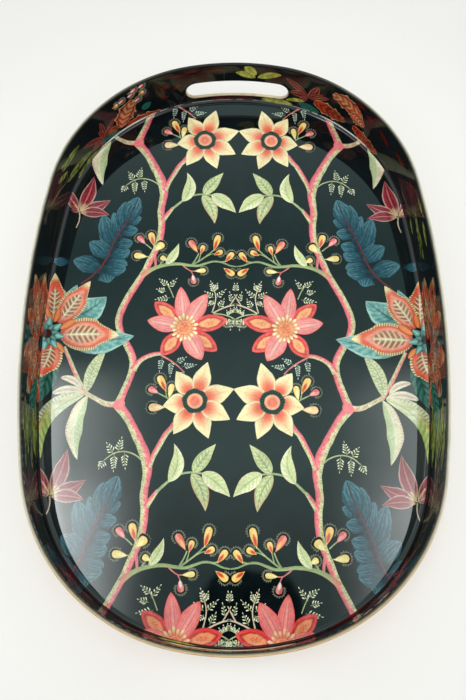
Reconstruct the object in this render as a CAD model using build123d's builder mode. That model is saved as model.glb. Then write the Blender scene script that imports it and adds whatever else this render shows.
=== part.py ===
"""Oval serving tray: a flat base board, a bent wall in two halves with cut-out hand slots,
printed paper inside and a clear poured coat over the paper. Millimetres, +Z up.
Origin: centre of the underside. Y runs along the tray's length, X across it."""

import os
from math import atan2, cos, degrees, hypot, radians, sin, sqrt

from build123d import *

# ---------------------------------------------------------------- driving dimensions
half_w = 175.0  # half of the overall width, across X
half_l = 260.0  # half of the overall length, along Y
r_side = 800.0  # plan radius of the long, nearly straight sides
r_corner = 152.0  # plan radius of the four corners
r_end = 221.0  # plan radius of the two ends

wall_t = 3.0  # bent board of the wall
wall_h = 54.7  # overall height
rim_r = 1.2  # rounding of the two top edges of the wall
foot_c = 0.5  # broken edge round the foot of the wall

base_t = 4.0  # base board
base_c = 0.4  # broken lower edge of the base board

paper_t = 0.2  # printed paper
paper_top = 1.4  # how far the wall paper stops below the rim
seam_x = 10.2  # where the two wall papers meet, beside the middle of each end

coat_floor = 0.6  # clear coat on the floor
coat_wall = 0.3  # clear coat on the wall
cove_r = 4.5  # cove that the coat makes between floor and wall

slot_len = 100.0  # hand slot, end to end
slot_h = 20.0  # hand slot, height; its ends are half circles
slot_x = 2.5  # how far the back slot's centre stands off the centre line
slot_z = 22.2  # height of the slot's centre above the underside
slot_r = 0.8  # rounding of the slot's edges

scarf_len = 28.0  # glued scarf joint between the wall halves, along Y
scarf_nib = 0.7  # blunt step at each end of the scarf
pin_d = 1.2  # headless pin
pin_len = 13.0
pin_sink = 0.3  # how far each pin is set below the outer face
pin_z = base_t / 2


# ---------------------------------------------------------------- plan outline
# One quarter is a side arc, a corner arc and an end arc, tangent where they meet.
side_c = (half_w - r_side, 0.0)
end_c = (0.0, half_l - r_end)
d_side = r_side - r_corner
d_end = r_end - r_corner
gap = hypot(end_c[0] - side_c[0], end_c[1] - side_c[1])
along = (d_side**2 - d_end**2 + gap**2) / (2 * gap)
across = sqrt(d_side**2 - along**2)
ux, uy = (end_c[0] - side_c[0]) / gap, (end_c[1] - side_c[1]) / gap
corner_c = (side_c[0] + along * ux - across * uy, side_c[1] + along * uy + across * ux)
a_side = degrees(atan2(corner_c[1] - side_c[1], corner_c[0] - side_c[0]))
a_end = degrees(atan2(corner_c[1] - end_c[1], corner_c[0] - end_c[0]))


def oval(inset):
    """The plan outline moved inward by inset, as a flat face."""
    cx, cy = corner_c
    with BuildSketch() as plan:
        with BuildLine():
            CenterArc(side_c, r_side - inset, -a_side, 2 * a_side)
            CenterArc((cx, cy), r_corner - inset, a_side, a_end - a_side)
            CenterArc(end_c, r_end - inset, a_end, 180 - 2 * a_end)
            CenterArc((-cx, cy), r_corner - inset, 180 - a_end, a_end - a_side)
            CenterArc((-side_c[0], 0), r_side - inset, 180 - a_side, 2 * a_side)
            CenterArc((-cx, -cy), r_corner - inset, 180 + a_side, a_end - a_side)
            CenterArc((0, -end_c[1]), r_end - inset, 180 + a_end, 180 - 2 * a_end)
            CenterArc((cx, -cy), r_corner - inset, -a_end, a_end - a_side)
        make_face()
    return plan.sketch


def slot_plane(end):
    """An upright plane just outside one end of the tray; its normal points into the tray."""
    return Plane(origin=(0, end * (half_l + 5), 0), x_dir=(end, 0, 0), z_dir=(0, -end, 0))


back_slot, front_slot = slot_plane(1), slot_plane(-1)
slot_reach = 30.0  # how far a slot cutter goes in


def station(centre, radius, angle, mx, my):
    """The plane of one pin: on the wall's outer face, square to it, facing inward."""
    nx, ny = cos(radians(angle)), sin(radians(angle))
    x, y = centre[0] + radius * nx, centre[1] + radius * ny
    return Plane(origin=(mx * x, my * y, pin_z), x_dir=(0, 0, 1), z_dir=(-mx * nx, -my * ny, 0))


quarter_pins = [
    (side_c, r_side, 0.32 * a_side),
    (side_c, r_side, 0.86 * a_side),
    (corner_c, r_corner, a_side + 0.35 * (a_end - a_side)),
    (corner_c, r_corner, a_side + 0.80 * (a_end - a_side)),
    (end_c, r_end, a_end + 0.62 * (90 - a_end)),
]
pin_planes = [
    station(c, r, a, mx, my) for c, r, a in quarter_pins for mx in (1, -1) for my in (1, -1)
]

# ---------------------------------------------------------------- base board
with BuildPart() as base_board:
    with BuildSketch(Plane.XY):
        add(oval(wall_t))
    extrude(amount=base_t)
    chamfer(base_board.faces().sort_by(Axis.Z)[0].edges(), base_c)
    with BuildSketch(*[p.offset(-2) for p in pin_planes]):
        Circle(pin_d / 2)
    extrude(amount=pin_len + 2, mode=Mode.SUBTRACT)

# ---------------------------------------------------------------- wall, as one ring
with BuildPart() as wall_ring:
    with BuildSketch(Plane.XY):
        add(oval(0))
        add(oval(wall_t), mode=Mode.SUBTRACT)
    extrude(amount=wall_h)
    fillet(wall_ring.faces().sort_by(Axis.Z)[-1].edges(), rim_r)
    chamfer(wall_ring.faces().sort_by(Axis.Z)[0].outer_wire().edges(), foot_c)
    with BuildSketch(back_slot, front_slot):
        with Locations((slot_x, slot_z)):
            SlotOverall(slot_len, slot_h)
    extrude(amount=slot_reach, mode=Mode.SUBTRACT)
    slot_edges = (
        wall_ring.edges()
        .filter_by_position(Axis.Z, slot_z - slot_h / 2 - 0.1, slot_z + slot_h / 2 + 0.1)
        .filter_by_position(Axis.X, -slot_x - slot_len / 2 - 1, slot_x + slot_len / 2 + 1)
        .filter_by(lambda e: abs(e.tangent_at(0.5).Y) < 0.9)
    )
    fillet(slot_edges, slot_r)
    with BuildSketch(*[p.offset(-2) for p in pin_planes]):
        Circle(pin_d / 2)
    extrude(amount=wall_t + 4, mode=Mode.SUBTRACT)

# The two halves are the same part, turned half a turn. The scarf between them is a slanting
# cut through the thickness at the middle of each long side.
sx, sy = wall_t / 2 - scarf_nib, scarf_len / 2
wall_mid = half_w - wall_t / 2
half_outline = [
    (-half_w - 20, half_l + 20),
    (-half_w - 20, -sy),
    (-wall_mid - sx, -sy),
    (-wall_mid + sx, sy),
    (wall_mid - sx, -sy),
    (wall_mid + sx, sy),
    (half_w + 20, sy),
    (half_w + 20, half_l + 20),
]

with BuildPart() as wall_back_half:
    add(wall_ring.part)
    with BuildSketch(Plane.XY.offset(-1)):
        with BuildLine():
            Polyline(*half_outline, close=True)
        make_face()
    extrude(amount=wall_h + 2, mode=Mode.INTERSECT)

with BuildPart() as wall_front_half:
    add(wall_ring.part)
    with BuildSketch(Plane.XY.offset(-1)):
        with BuildLine():
            Polyline(*[(-x, -y) for x, y in half_outline], close=True)
        make_face()
    extrude(amount=wall_h + 2, mode=Mode.INTERSECT)

# ---------------------------------------------------------------- printed papers
with BuildPart() as floor_paper:
    with BuildSketch(Plane.XY.offset(base_t)):
        add(oval(wall_t + paper_t))
    extrude(amount=paper_t)

with BuildPart() as paper_ring:
    with BuildSketch(Plane.XY.offset(base_t)):
        add(oval(wall_t))
        add(oval(wall_t + paper_t), mode=Mode.SUBTRACT)
    extrude(amount=wall_h - paper_top - base_t)
    with BuildSketch(back_slot, front_slot):
        with Locations((slot_x, slot_z)):
            SlotOverall(slot_len + 2 * slot_r, slot_h + 2 * slot_r)
    extrude(amount=slot_reach, mode=Mode.SUBTRACT)

left_outline = [
    (-half_w - 20, half_l + 20),
    (-seam_x, half_l + 20),
    (-seam_x, 0),
    (seam_x, 0),
    (seam_x, -half_l - 20),
    (-half_w - 20, -half_l - 20),
]

with BuildPart() as wall_paper_left:
    add(paper_ring.part)
    with BuildSketch(Plane.XY.offset(-1)):
        with BuildLine():
            Polyline(*left_outline, close=True)
        make_face()
    extrude(amount=wall_h + 2, mode=Mode.INTERSECT)

with BuildPart() as wall_paper_right:
    add(paper_ring.part)
    with BuildSketch(Plane.XY.offset(-1)):
        with BuildLine():
            Polyline(*[(-x, -y) for x, y in left_outline], close=True)
        make_face()
    extrude(amount=wall_h + 2, mode=Mode.INTERSECT)

# ---------------------------------------------------------------- clear coat, cast in place
coat_z = base_t + paper_t
with BuildPart() as clear_coat:
    with BuildSketch(Plane.XY.offset(coat_z)):
        add(oval(wall_t + paper_t))
    extrude(amount=wall_h - paper_top - coat_z)
    with BuildSketch(Plane.XY.offset(coat_z + coat_floor)):
        add(oval(wall_t + paper_t + coat_wall))
    extrude(amount=wall_h, mode=Mode.SUBTRACT)
    cove = clear_coat.edges().filter_by_position(
        Axis.Z, coat_z + coat_floor - 0.01, coat_z + coat_floor + 0.01
    )
    fillet(cove, cove_r)
    with BuildSketch(back_slot, front_slot):
        with Locations((slot_x, slot_z)):
            SlotOverall(slot_len + 2 * slot_r, slot_h + 2 * slot_r)
    extrude(amount=slot_reach, mode=Mode.SUBTRACT)

# ---------------------------------------------------------------- pins through the wall into the base
with BuildPart() as base_pins:
    with BuildSketch(*[p.offset(pin_sink) for p in pin_planes]):
        Circle(pin_d / 2)
    extrude(amount=pin_len - pin_sink)

# ---------------------------------------------------------------- hand over the pieces
os.makedirs("parts", exist_ok=True)
pieces = {
    "base_board": base_board,
    "wall_back_half": wall_back_half,
    "wall_front_half": wall_front_half,
    "floor_paper": floor_paper,
    "wall_paper_left": wall_paper_left,
    "wall_paper_right": wall_paper_right,
    "clear_coat": clear_coat,
    "base_pins": base_pins,
}
for name, piece in pieces.items():
    piece.part.label = name
    export_step(piece.part, f"parts/{name}.step")
    print(name, len(piece.part.solids()), round(piece.part.volume, 1), piece.part.bounding_box())
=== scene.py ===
"""Oval lacquered serving tray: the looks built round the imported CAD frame. All lengths in the
tables below are millimetres; meshes are written in metres."""
import math

import bmesh
import bpy
import numpy as np
from mathutils import Matrix, Vector


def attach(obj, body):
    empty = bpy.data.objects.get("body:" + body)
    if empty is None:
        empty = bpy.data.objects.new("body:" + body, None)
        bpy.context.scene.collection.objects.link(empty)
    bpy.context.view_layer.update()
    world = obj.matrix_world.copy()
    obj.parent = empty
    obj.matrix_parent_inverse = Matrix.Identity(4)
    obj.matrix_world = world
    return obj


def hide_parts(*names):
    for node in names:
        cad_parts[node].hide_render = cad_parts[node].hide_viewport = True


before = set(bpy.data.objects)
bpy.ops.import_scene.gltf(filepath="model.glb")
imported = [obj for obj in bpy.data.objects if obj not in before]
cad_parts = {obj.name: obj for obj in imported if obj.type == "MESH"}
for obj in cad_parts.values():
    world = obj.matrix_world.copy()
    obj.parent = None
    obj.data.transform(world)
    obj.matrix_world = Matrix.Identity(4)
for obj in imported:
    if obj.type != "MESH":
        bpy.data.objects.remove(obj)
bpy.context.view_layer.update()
scene = bpy.context.scene
rng = np.random.default_rng(7)

# ------------------------------------------------------------------ the tray's own measures
HALF_W, HALF_L = 175.0, 260.0
R_SIDE, R_CORNER, R_END = 800.0, 152.0, 221.0
WALL_T, WALL_H, RIM_R, FOOT_C = 3.0, 54.7, 1.2, 0.5
BASE_T = 4.0
PAPER_TOP = 53.3
PRINT_Z = 4.2  # the floor paper's face
COAT_Z = 4.8  # the coat's face over the floor
LINER = 3.5  # inset of the coat's face on the wall
COVE = 4.5
SLOT_X, SLOT_Z, SLOT_L, SLOT_H, SLOT_R = 2.5, 22.2, 100.0, 20.0, 0.8
SEAM_X = 10.2

SC = np.array([HALF_W - R_SIDE, 0.0])
EC = np.array([0.0, HALF_L - R_END])
_d1, _d3 = R_SIDE - R_CORNER, R_END - R_CORNER
_g = float(np.hypot(*(EC - SC)))
_al = (_d1**2 - _d3**2 + _g**2) / (2 * _g)
_ac = math.sqrt(_d1**2 - _al**2)
_u = (EC - SC) / _g
CC = SC + _al * _u + _ac * np.array([-_u[1], _u[0]])
A1 = math.atan2(CC[1] - SC[1], CC[0] - SC[0])
A3 = math.atan2(CC[1] - EC[1], CC[0] - EC[0])

# The outline as eight arcs, counter-clockwise from the +X side's middle; g is the running
# length along the outer edge.
_arcs = []
for c, r, a, b in [
    ((SC[0], 0), R_SIDE, 0.0, A1),
    ((CC[0], CC[1]), R_CORNER, A1, A3),
    ((0, EC[1]), R_END, A3, math.pi - A3),
    ((-CC[0], CC[1]), R_CORNER, math.pi - A3, math.pi - A1),
    ((-SC[0], 0), R_SIDE, math.pi - A1, math.pi + A1),
    ((-CC[0], -CC[1]), R_CORNER, math.pi + A1, math.pi + A3),
    ((0, -EC[1]), R_END, math.pi + A3, 2 * math.pi - A3),
    ((CC[0], -CC[1]), R_CORNER, 2 * math.pi - A3, 2 * math.pi - A1),
    ((SC[0], 0), R_SIDE, 2 * math.pi - A1, 2 * math.pi),
]:
    _arcs.append((c[0], c[1], r, a, b))
_ends = np.concatenate([[0], np.cumsum([r * (b - a) for _, _, r, a, b in _arcs])])
GIRTH = float(_ends[-1])
_arr = np.array(_arcs)


def around(g, inset):
    """Points on the outline moved inward by inset, and the inward normals there."""
    g = np.mod(np.asarray(g, float), GIRTH)
    k = np.clip(np.searchsorted(_ends, g, side="right") - 1, 0, len(_arcs) - 1)
    th = _arr[k, 3] + (g - _ends[k]) / _arr[k, 2]
    n = np.stack([np.cos(th), np.sin(th)], -1)
    r = _arr[k, 2] - inset
    return _arr[k, :2] + n * np.asarray(r)[..., None], -n


_tab_g = np.linspace(0, GIRTH, 8001)
_tab_p, _ = around(_tab_g[:-1], 0)


def g_of(x, y):
    """The running length of the outline point nearest to a point near the wall."""
    i = int(np.argmin(np.hypot(_tab_p[:, 0] - x, _tab_p[:, 1] - y)))
    return float(_tab_g[i])


def depth(p):
    """How far inside the outer edge each point is, and the inward normal."""
    p = np.asarray(p, float)
    s = np.where(p < 0, -1.0, 1.0)
    q = np.abs(p)
    v1, v2, v3 = q - SC, q - CC, q - EC
    l1, l2, l3 = (np.linalg.norm(v, axis=-1) + 1e-9 for v in (v1, v2, v3))
    w = (np.arctan2(v2[..., 1], v2[..., 0]) >= A1) & (np.arctan2(v2[..., 1], v2[..., 0]) <= A3) & (v2[..., 0] > 0)
    d = np.stack([R_SIDE - l1, R_END - l3, np.where(w, R_CORNER - l2, 1e9)], -1)
    k = np.where(w, 2, np.where(d[..., 0] < d[..., 1], 0, 1))
    n = np.where((k == 2)[..., None], -v2 / l2[..., None], np.where((k == 0)[..., None], -v1 / l1[..., None], -v3 / l3[..., None]))
    return np.take_along_axis(d, k[..., None], -1)[..., 0], n * s


def floor_surface(p, up=0.0):
    """Lays plan points on the coated floor and its cove: 3-D points and normals."""
    p = np.asarray(p, float)
    d, n = depth(p)
    e = np.clip(d - LINER, 0, None)
    h = np.clip(COVE - e, 0, COVE)
    z = COVE - np.sqrt(np.clip(COVE**2 - h**2, 0, None))
    nz = np.sqrt(np.clip(1 - (h / COVE) ** 2, 0, 1))
    nrm = np.concatenate([n * (h / COVE)[..., None], nz[..., None]], -1)
    pos = np.concatenate([p, (COAT_Z + z)[..., None]], -1)
    return pos + nrm * up, nrm


def wall_surface(g, z, up=0.0):
    """Lays points given by running length and height on the coated wall and its cove."""
    g, z = np.asarray(g, float), np.asarray(z, float)
    h = np.clip(COAT_Z + COVE - z, 0, COVE)
    e = COVE - np.sqrt(np.clip(COVE**2 - h**2, 0, None))
    xy, n = around(g, LINER + e)
    k = np.sqrt(np.clip(1 - (h / COVE) ** 2, 0, 1))
    nrm = np.concatenate([n * k[..., None], (h / COVE)[..., None]], -1)
    pos = np.concatenate([xy, z[..., None]], -1)
    return pos + nrm * up, nrm


# ------------------------------------------------------------------ colours
def lin(r, g, b):
    """An 0-255 display colour as linear light."""
    c = np.array([r, g, b], float) / 255
    return np.where(c <= 0.04045, c / 12.92, ((c + 0.055) / 1.055) ** 2.4)


def mix(a, b, t):
    t = np.clip(np.asarray(t, float), 0, 1)[..., None]
    return np.asarray(a) * (1 - t) + np.asarray(b) * t


def step(a, b, t):
    t = np.clip((np.asarray(t, float) - a) / (b - a), 0, 1)
    return t * t * (3 - 2 * t)


# ------------------------------------------------------------------ mesh making
def new_object(name, verts, faces, normals=None, colours=None, material=None):
    me = bpy.data.meshes.new(name)
    me.from_pydata((np.asarray(verts) * 0.001).tolist(), [], faces)
    me.validate(clean_customdata=False)
    me.polygons.foreach_set("use_smooth", [True] * len(me.polygons))
    if colours is not None:
        ca = me.color_attributes.new("tint", "FLOAT_COLOR", "POINT")
        c = np.ones((len(me.vertices), 4), np.float32)
        c[:, :3] = colours
        ca.data.foreach_set("color", c.ravel())
    if normals is not None:
        me.normals_split_custom_set_from_vertices(np.asarray(normals).tolist())
    me.update()
    o = bpy.data.objects.new(name, me)
    scene.collection.objects.link(o)
    if material:
        me.materials.append(material)
    return o


def node(nt, kind, at, **values):
    n = nt.nodes.new(kind)
    n.location = at
    for k, v in values.items():
        if k in n.inputs:
            n.inputs[k].default_value = v
        else:
            setattr(n, k, v)
    return n


def base_material(name):
    m = bpy.data.materials.new(name)
    m.use_nodes = True
    nt = m.node_tree
    p = nt.nodes["Principled BSDF"]
    return m, nt, p


def noise(nt, coord, scale, detail=3.0, rough=0.55, at=(-700, 0)):
    n = node(nt, "ShaderNodeTexNoise", at)
    n.inputs["Scale"].default_value = scale
    n.inputs["Detail"].default_value = detail
    n.inputs["Roughness"].default_value = rough
    nt.links.new(coord, n.inputs["Vector"])
    return n


def ramp(nt, source, stops, at=(-450, 0)):
    r = node(nt, "ShaderNodeValToRGB", at)
    els = r.color_ramp.elements
    while len(els) < len(stops):
        els.new(0.5)
    for e, (pos, col) in zip(els, stops):
        e.position = pos
        e.color = (*col, 1.0) if len(col) == 3 else col
    nt.links.new(source, r.inputs["Fac"])
    return r


def map_range(nt, source, a, b, at=(-600, 0)):
    """0 at a, 1 at b, smooth between."""
    m = node(nt, "ShaderNodeMapRange", at)
    m.interpolation_type = "SMOOTHSTEP"
    m.inputs["From Min"].default_value = min(a, b)
    m.inputs["From Max"].default_value = max(a, b)
    m.inputs["To Min"].default_value = 0.0 if a < b else 1.0
    m.inputs["To Max"].default_value = 1.0 if a < b else 0.0
    nt.links.new(source, m.inputs["Value"])
    return m.outputs["Result"]


def mix_rgb(nt, kind, fac, a, b, at=(-200, 0)):
    n = node(nt, "ShaderNodeMix", at)
    n.data_type = "RGBA"
    n.blend_type = kind
    for socket, v in ((n.inputs[0], fac), (n.inputs[6], a), (n.inputs[7], b)):
        if hasattr(v, "links"):
            nt.links.new(v, socket)
        elif isinstance(v, (int, float)):
            socket.default_value = v
        else:
            socket.default_value = (*v, 1.0) if len(v) == 3 else v
    return n.outputs[2]


def glossy_coat(nt, p, obj_coord, rough=0.03, wave=0.10, weight=1.0):
    """The poured lacquer: a clear coat with a faint orange-peel swell."""
    p.inputs["Coat Weight"].default_value = weight
    p.inputs["Coat IOR"].default_value = 1.5
    fine = noise(nt, obj_coord, 260.0, 2.0, 0.5, (-900, -500))
    slow = noise(nt, obj_coord, 34.0, 1.0, 0.4, (-900, -700))
    r = ramp(nt, fine.outputs["Fac"], [(0.30, (rough * 0.6,) * 3), (0.75, (rough * 1.7,) * 3)], (-650, -500))
    nt.links.new(r.outputs["Color"], p.inputs["Coat Roughness"])
    b = node(nt, "ShaderNodeBump", (-350, -700))
    b.inputs["Strength"].default_value = wave
    b.inputs["Distance"].default_value = 0.0006
    nt.links.new(slow.outputs["Fac"], b.inputs["Height"])
    nt.links.new(b.outputs["Normal"], p.inputs["Coat Normal"])


def print_material(name, tinted, ground=(9, 17, 20), rough=0.5, wall=False):
    """Printed paper under the clear coat. tinted: ink colours come from the mesh."""
    m, nt, p = base_material(name)
    tc = node(nt, "ShaderNodeTexCoord", (-1400, 0))
    coord = tc.outputs["Object"]
    grain = noise(nt, coord, 900.0, 2.0, 0.6, (-1100, 200))
    cloud = noise(nt, coord, 55.0, 4.0, 0.6, (-1100, -50))
    if tinted:
        at = node(nt, "ShaderNodeAttribute", (-1100, 450))
        at.attribute_name = "tint"
        soft = ramp(nt, cloud.outputs["Fac"], [(0.32, (0.80, 0.80, 0.80)), (0.66, (1.12, 1.12, 1.12))], (-800, -50))
        c = mix_rgb(nt, "MULTIPLY", 0.75, at.outputs["Color"], soft.outputs["Color"], (-550, 300))
        dots = ramp(nt, grain.outputs["Fac"], [(0.35, (0.84, 0.84, 0.84)), (0.62, (1.08, 1.08, 1.08))], (-800, 150))
        c = mix_rgb(nt, "MULTIPLY", 0.8, c, dots.outputs["Color"], (-350, 300))
    else:
        g = lin(*ground)
        dark, pale = g * 0.55, g * 1.45
        soft = ramp(nt, cloud.outputs["Fac"], [(0.30, tuple(dark)), (0.70, tuple(pale))], (-800, -50))
        dots = ramp(nt, grain.outputs["Fac"], [(0.35, (0.75, 0.75, 0.75)), (0.70, (1.25, 1.25, 1.25))], (-800, 150))
        c = mix_rgb(nt, "MULTIPLY", 0.8, soft.outputs["Color"], dots.outputs["Color"], (-350, 300))
    nt.links.new(c, p.inputs["Base Color"])
    p.inputs["Roughness"].default_value = rough
    p.inputs["Specular IOR Level"].default_value = 0.0
    if wall:
        # brushed on and rubbed, so thinner and less even than the poured floor
        glossy_coat(nt, p, coord, rough=0.10, wave=0.22, weight=0.62)
    else:
        glossy_coat(nt, p, coord)
    return m


def board_material():
    """Bent board painted a worn pale copper gold, with painted shade and highlight on its rim."""
    m, nt, p = base_material("gilt_paint")
    tc = node(nt, "ShaderNodeTexCoord", (-1400, 0))
    coord = tc.outputs["Object"]
    mp = node(nt, "ShaderNodeMapping", (-1200, -250))
    mp.inputs["Scale"].default_value = (1.0, 1.0, 9.0)
    nt.links.new(coord, mp.inputs["Vector"])
    cloud = noise(nt, coord, 42.0, 5.0, 0.6, (-1000, 150))
    brush = noise(nt, mp.outputs["Vector"], 60.0, 4.0, 0.65, (-1000, -250))
    base = ramp(nt, cloud.outputs["Fac"], [(0.30, tuple(lin(176, 152, 112))), (0.55, tuple(lin(204, 190, 160))), (0.75, tuple(lin(222, 212, 188)))], (-700, 150))
    rub = ramp(nt, brush.outputs["Fac"], [(0.34, (0.72, 0.72, 0.72)), (0.60, (1.10, 1.10, 1.10))], (-700, -250))
    # the rim: painted shade on its inward-facing side and a painted highlight on its outer rounded edge, set by which
    # way the surface faces; browner at the front, darker at the back
    xyz = node(nt, "ShaderNodeSeparateXYZ", (-1200, 500))
    nt.links.new(coord, xyz.inputs[0])
    flat = node(nt, "ShaderNodeCombineXYZ", (-1050, 500))
    nt.links.new(xyz.outputs["X"], flat.inputs["X"])
    nt.links.new(xyz.outputs["Y"], flat.inputs["Y"])
    unit = node(nt, "ShaderNodeVectorMath", (-900, 500))
    unit.operation = "NORMALIZE"
    nt.links.new(flat.outputs[0], unit.inputs[0])
    facing = node(nt, "ShaderNodeVectorMath", (-750, 500))
    facing.operation = "DOT_PRODUCT"
    nt.links.new(unit.outputs[0], facing.inputs[0])
    nt.links.new(tc.outputs["Normal"], facing.inputs[1])
    # painted shade and highlight: the rim's brightness follows how far its surface faces outward
    side = map_range(nt, facing.outputs["Value"], -1.0, 1.0, (-600, 500))
    rim_side_shading = ramp(nt, side, [(0.05, tuple(lin(74, 70, 56))), (0.34, tuple(lin(132, 128, 112))), (0.50, tuple(lin(168, 165, 150))), (0.66, tuple(lin(210, 206, 192))), (0.84, tuple(lin(214, 206, 180))), (1.0, tuple(lin(188, 174, 138)))], (-400, 600))
    rim_front_shading = ramp(nt, side, [(0.05, tuple(lin(70, 58, 40))), (0.34, tuple(lin(120, 110, 86))), (0.50, tuple(lin(150, 140, 112))), (0.66, tuple(lin(196, 178, 136))), (0.84, tuple(lin(206, 172, 120))), (1.0, tuple(lin(178, 128, 84)))], (-400, 800))
    rim_back_shading = ramp(nt, side, [(0.05, tuple(lin(16, 17, 17))), (0.50, tuple(lin(26, 27, 25))), (0.66, tuple(lin(48, 47, 43))), (0.80, tuple(lin(120, 117, 108))), (0.92, tuple(lin(188, 184, 170)))], (-400, 1000))
    back = map_range(nt, xyz.outputs["Y"], 0.190, 0.258, (-600, 900))
    front = map_range(nt, xyz.outputs["Y"], -0.120, -0.225, (-600, 1100))
    top = map_range(nt, xyz.outputs["Z"], 0.0485, 0.0520, (-600, 1300))
    rim = mix_rgb(nt, "MIX", front, rim_side_shading.outputs["Color"], rim_front_shading.outputs["Color"], (-200, 700))
    rim = mix_rgb(nt, "MIX", back, rim, rim_back_shading.outputs["Color"], (-50, 800))
    body = mix_rgb(nt, "MIX", top, base.outputs["Color"], rim, (100, 700))
    c = mix_rgb(nt, "MULTIPLY", 0.7, body, rub.outputs["Color"], (250, 100))
    nt.links.new(c, p.inputs["Base Color"])
    p.inputs["Metallic"].default_value = 0.35
    r = ramp(nt, brush.outputs["Fac"], [(0.3, (0.30,) * 3), (0.7, (0.52,) * 3)], (-700, -500))
    nt.links.new(r.outputs["Color"], p.inputs["Roughness"])
    b = node(nt, "ShaderNodeBump", (-350, -600))
    b.inputs["Strength"].default_value = 0.25
    b.inputs["Distance"].default_value = 0.0003
    nt.links.new(brush.outputs["Fac"], b.inputs["Height"])
    nt.links.new(b.outputs["Normal"], p.inputs["Normal"])
    return m


def underside_material():
    """Fibreboard, stained dark and sealed: fine short fibres under a thin satin sealer."""
    m, nt, p = base_material("stained_board")
    tc = node(nt, "ShaderNodeTexCoord", (-1400, 0))
    coord = tc.outputs["Object"]
    mp = node(nt, "ShaderNodeMapping", (-1200, -250))
    mp.inputs["Scale"].default_value = (1.0, 0.18, 1.0)
    mp.inputs["Rotation"].default_value = (0, 0, 0.35)
    nt.links.new(coord, mp.inputs["Vector"])
    fibre = noise(nt, mp.outputs["Vector"], 700.0, 5.0, 0.7, (-1000, -250))
    cloud = noise(nt, coord, 16.0, 4.0, 0.6, (-1000, 150))
    base = ramp(nt, cloud.outputs["Fac"], [(0.3, tuple(lin(58, 44, 34))), (0.7, tuple(lin(84, 64, 48)))], (-700, 150))
    f = ramp(nt, fibre.outputs["Fac"], [(0.36, (0.62, 0.62, 0.62)), (0.64, (1.35, 1.3, 1.2))], (-700, -250))
    c = mix_rgb(nt, "MULTIPLY", 0.75, base.outputs["Color"], f.outputs["Color"], (-400, 100))
    nt.links.new(c, p.inputs["Base Color"])
    r = ramp(nt, fibre.outputs["Fac"], [(0.3, (0.42,) * 3), (0.7, (0.62,) * 3)], (-700, -500))
    nt.links.new(r.outputs["Color"], p.inputs["Roughness"])
    b = node(nt, "ShaderNodeBump", (-350, -600))
    b.inputs["Strength"].default_value = 0.3
    b.inputs["Distance"].default_value = 0.0002
    nt.links.new(fibre.outputs["Fac"], b.inputs["Height"])
    nt.links.new(b.outputs["Normal"], p.inputs["Normal"])
    return m


def steel_material():
    m, nt, p = base_material("pin_steel")
    tc = node(nt, "ShaderNodeTexCoord", (-1400, 0))
    n = noise(nt, tc.outputs["Object"], 1500.0, 2.0, 0.6, (-1000, 0))
    c = ramp(nt, n.outputs["Fac"], [(0.3, (0.32, 0.31, 0.30)), (0.7, (0.55, 0.54, 0.52))], (-700, 0))
    nt.links.new(c.outputs["Color"], p.inputs["Base Color"])
    p.inputs["Metallic"].default_value = 1.0
    p.inputs["Roughness"].default_value = 0.4
    return m


GILT = board_material()
GROUND = print_material("printed_ground", False)
INK = print_material("printed_ink", True)
WALL_GROUND = print_material("wall_ground", False, wall=True)
WALL_INK = print_material("wall_ink", True, wall=True)
UNDER = underside_material()
STEEL = steel_material()

# ------------------------------------------------------------------ the wall halves
STEP = 3.0


def slot_cutter(name, end, grow=0.0, flare=True, t0=-1.5, t1=WALL_T + 1.5, inset0=0.0, inset1=WALL_T):
    """A stadium prism that follows the wall, flared where it meets the two faces."""
    xc = SLOT_X * end
    n_arc, n_line = 14, 34
    half = SLOT_L / 2 - SLOT_H / 2
    ring = []
    for k in range(n_line):
        ring.append((-half + 2 * half * k / n_line, -SLOT_H / 2, 0, -1))
    for k in range(n_arc):
        a = -math.pi / 2 + math.pi * k / n_arc
        ring.append((half + SLOT_H / 2 * math.cos(a), SLOT_H / 2 * math.sin(a), math.cos(a), math.sin(a)))
    for k in range(n_line):
        ring.append((half - 2 * half * k / n_line, SLOT_H / 2, 0, 1))
    for k in range(n_arc):
        a = math.pi / 2 + math.pi * k / n_arc
        ring.append((-half + SLOT_H / 2 * math.cos(a), SLOT_H / 2 * math.sin(a), math.cos(a), math.sin(a)))
    ring = np.array(ring)
    r = SLOT_R
    levels = [t0]
    if flare:
        levels += [inset0 + r * v for v in (0, 0.12, 0.3, 0.6, 1.0)] + [inset1 - r * v for v in (1.0, 0.6, 0.3, 0.12, 0)]
    levels += [t1]
    verts, faces = [], []
    # x along the wall is measured on the mid surface; the slot is cut square to the length
    for t in levels:
        if flare:
            q = max(0.0, 1 - (t - inset0) / r, 1 - (inset1 - t) / r)
            q = min(q, 1.0)
            d = r - math.sqrt(max(r * r - (r * q) ** 2, 0.0)) + grow
            if t < inset0 or t > inset1:
                d = r + grow + 0.8 * max(inset0 - t, t - inset1)
        else:
            d = grow
        x = xc + ring[:, 0] * 1.0 + ring[:, 2] * d
        z = SLOT_Z + ring[:, 1] + ring[:, 3] * d
        # find the point of this x on the outline at this inset
        y = end_y(x, t)
        verts.append(np.stack([x, end * y, z], -1))
    m = len(ring)
    for i in range(len(levels) - 1):
        for k in range(m):
            a, b = i * m + k, i * m + (k + 1) % m
            faces.append((a, b, b + m, a + m))
    # the two caps, in upright strips so that they keep to the wall's curve
    for base, flip in ((0, True), ((len(levels) - 1) * m, False)):
        for i in range(-n_arc // 2, n_line + n_arc // 2):
            f = [i, i + 1, 2 * n_line + n_arc - i - 1, 2 * n_line + n_arc - i]
            f = [base + k % m for k in f]
            f = [k for n, k in enumerate(f) if k not in f[:n]]
            faces.append(f[::-1] if flip else f)
    o = new_object(name, np.concatenate(verts), [list(f) for f in faces])
    fix_normals(o)
    return o


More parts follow.
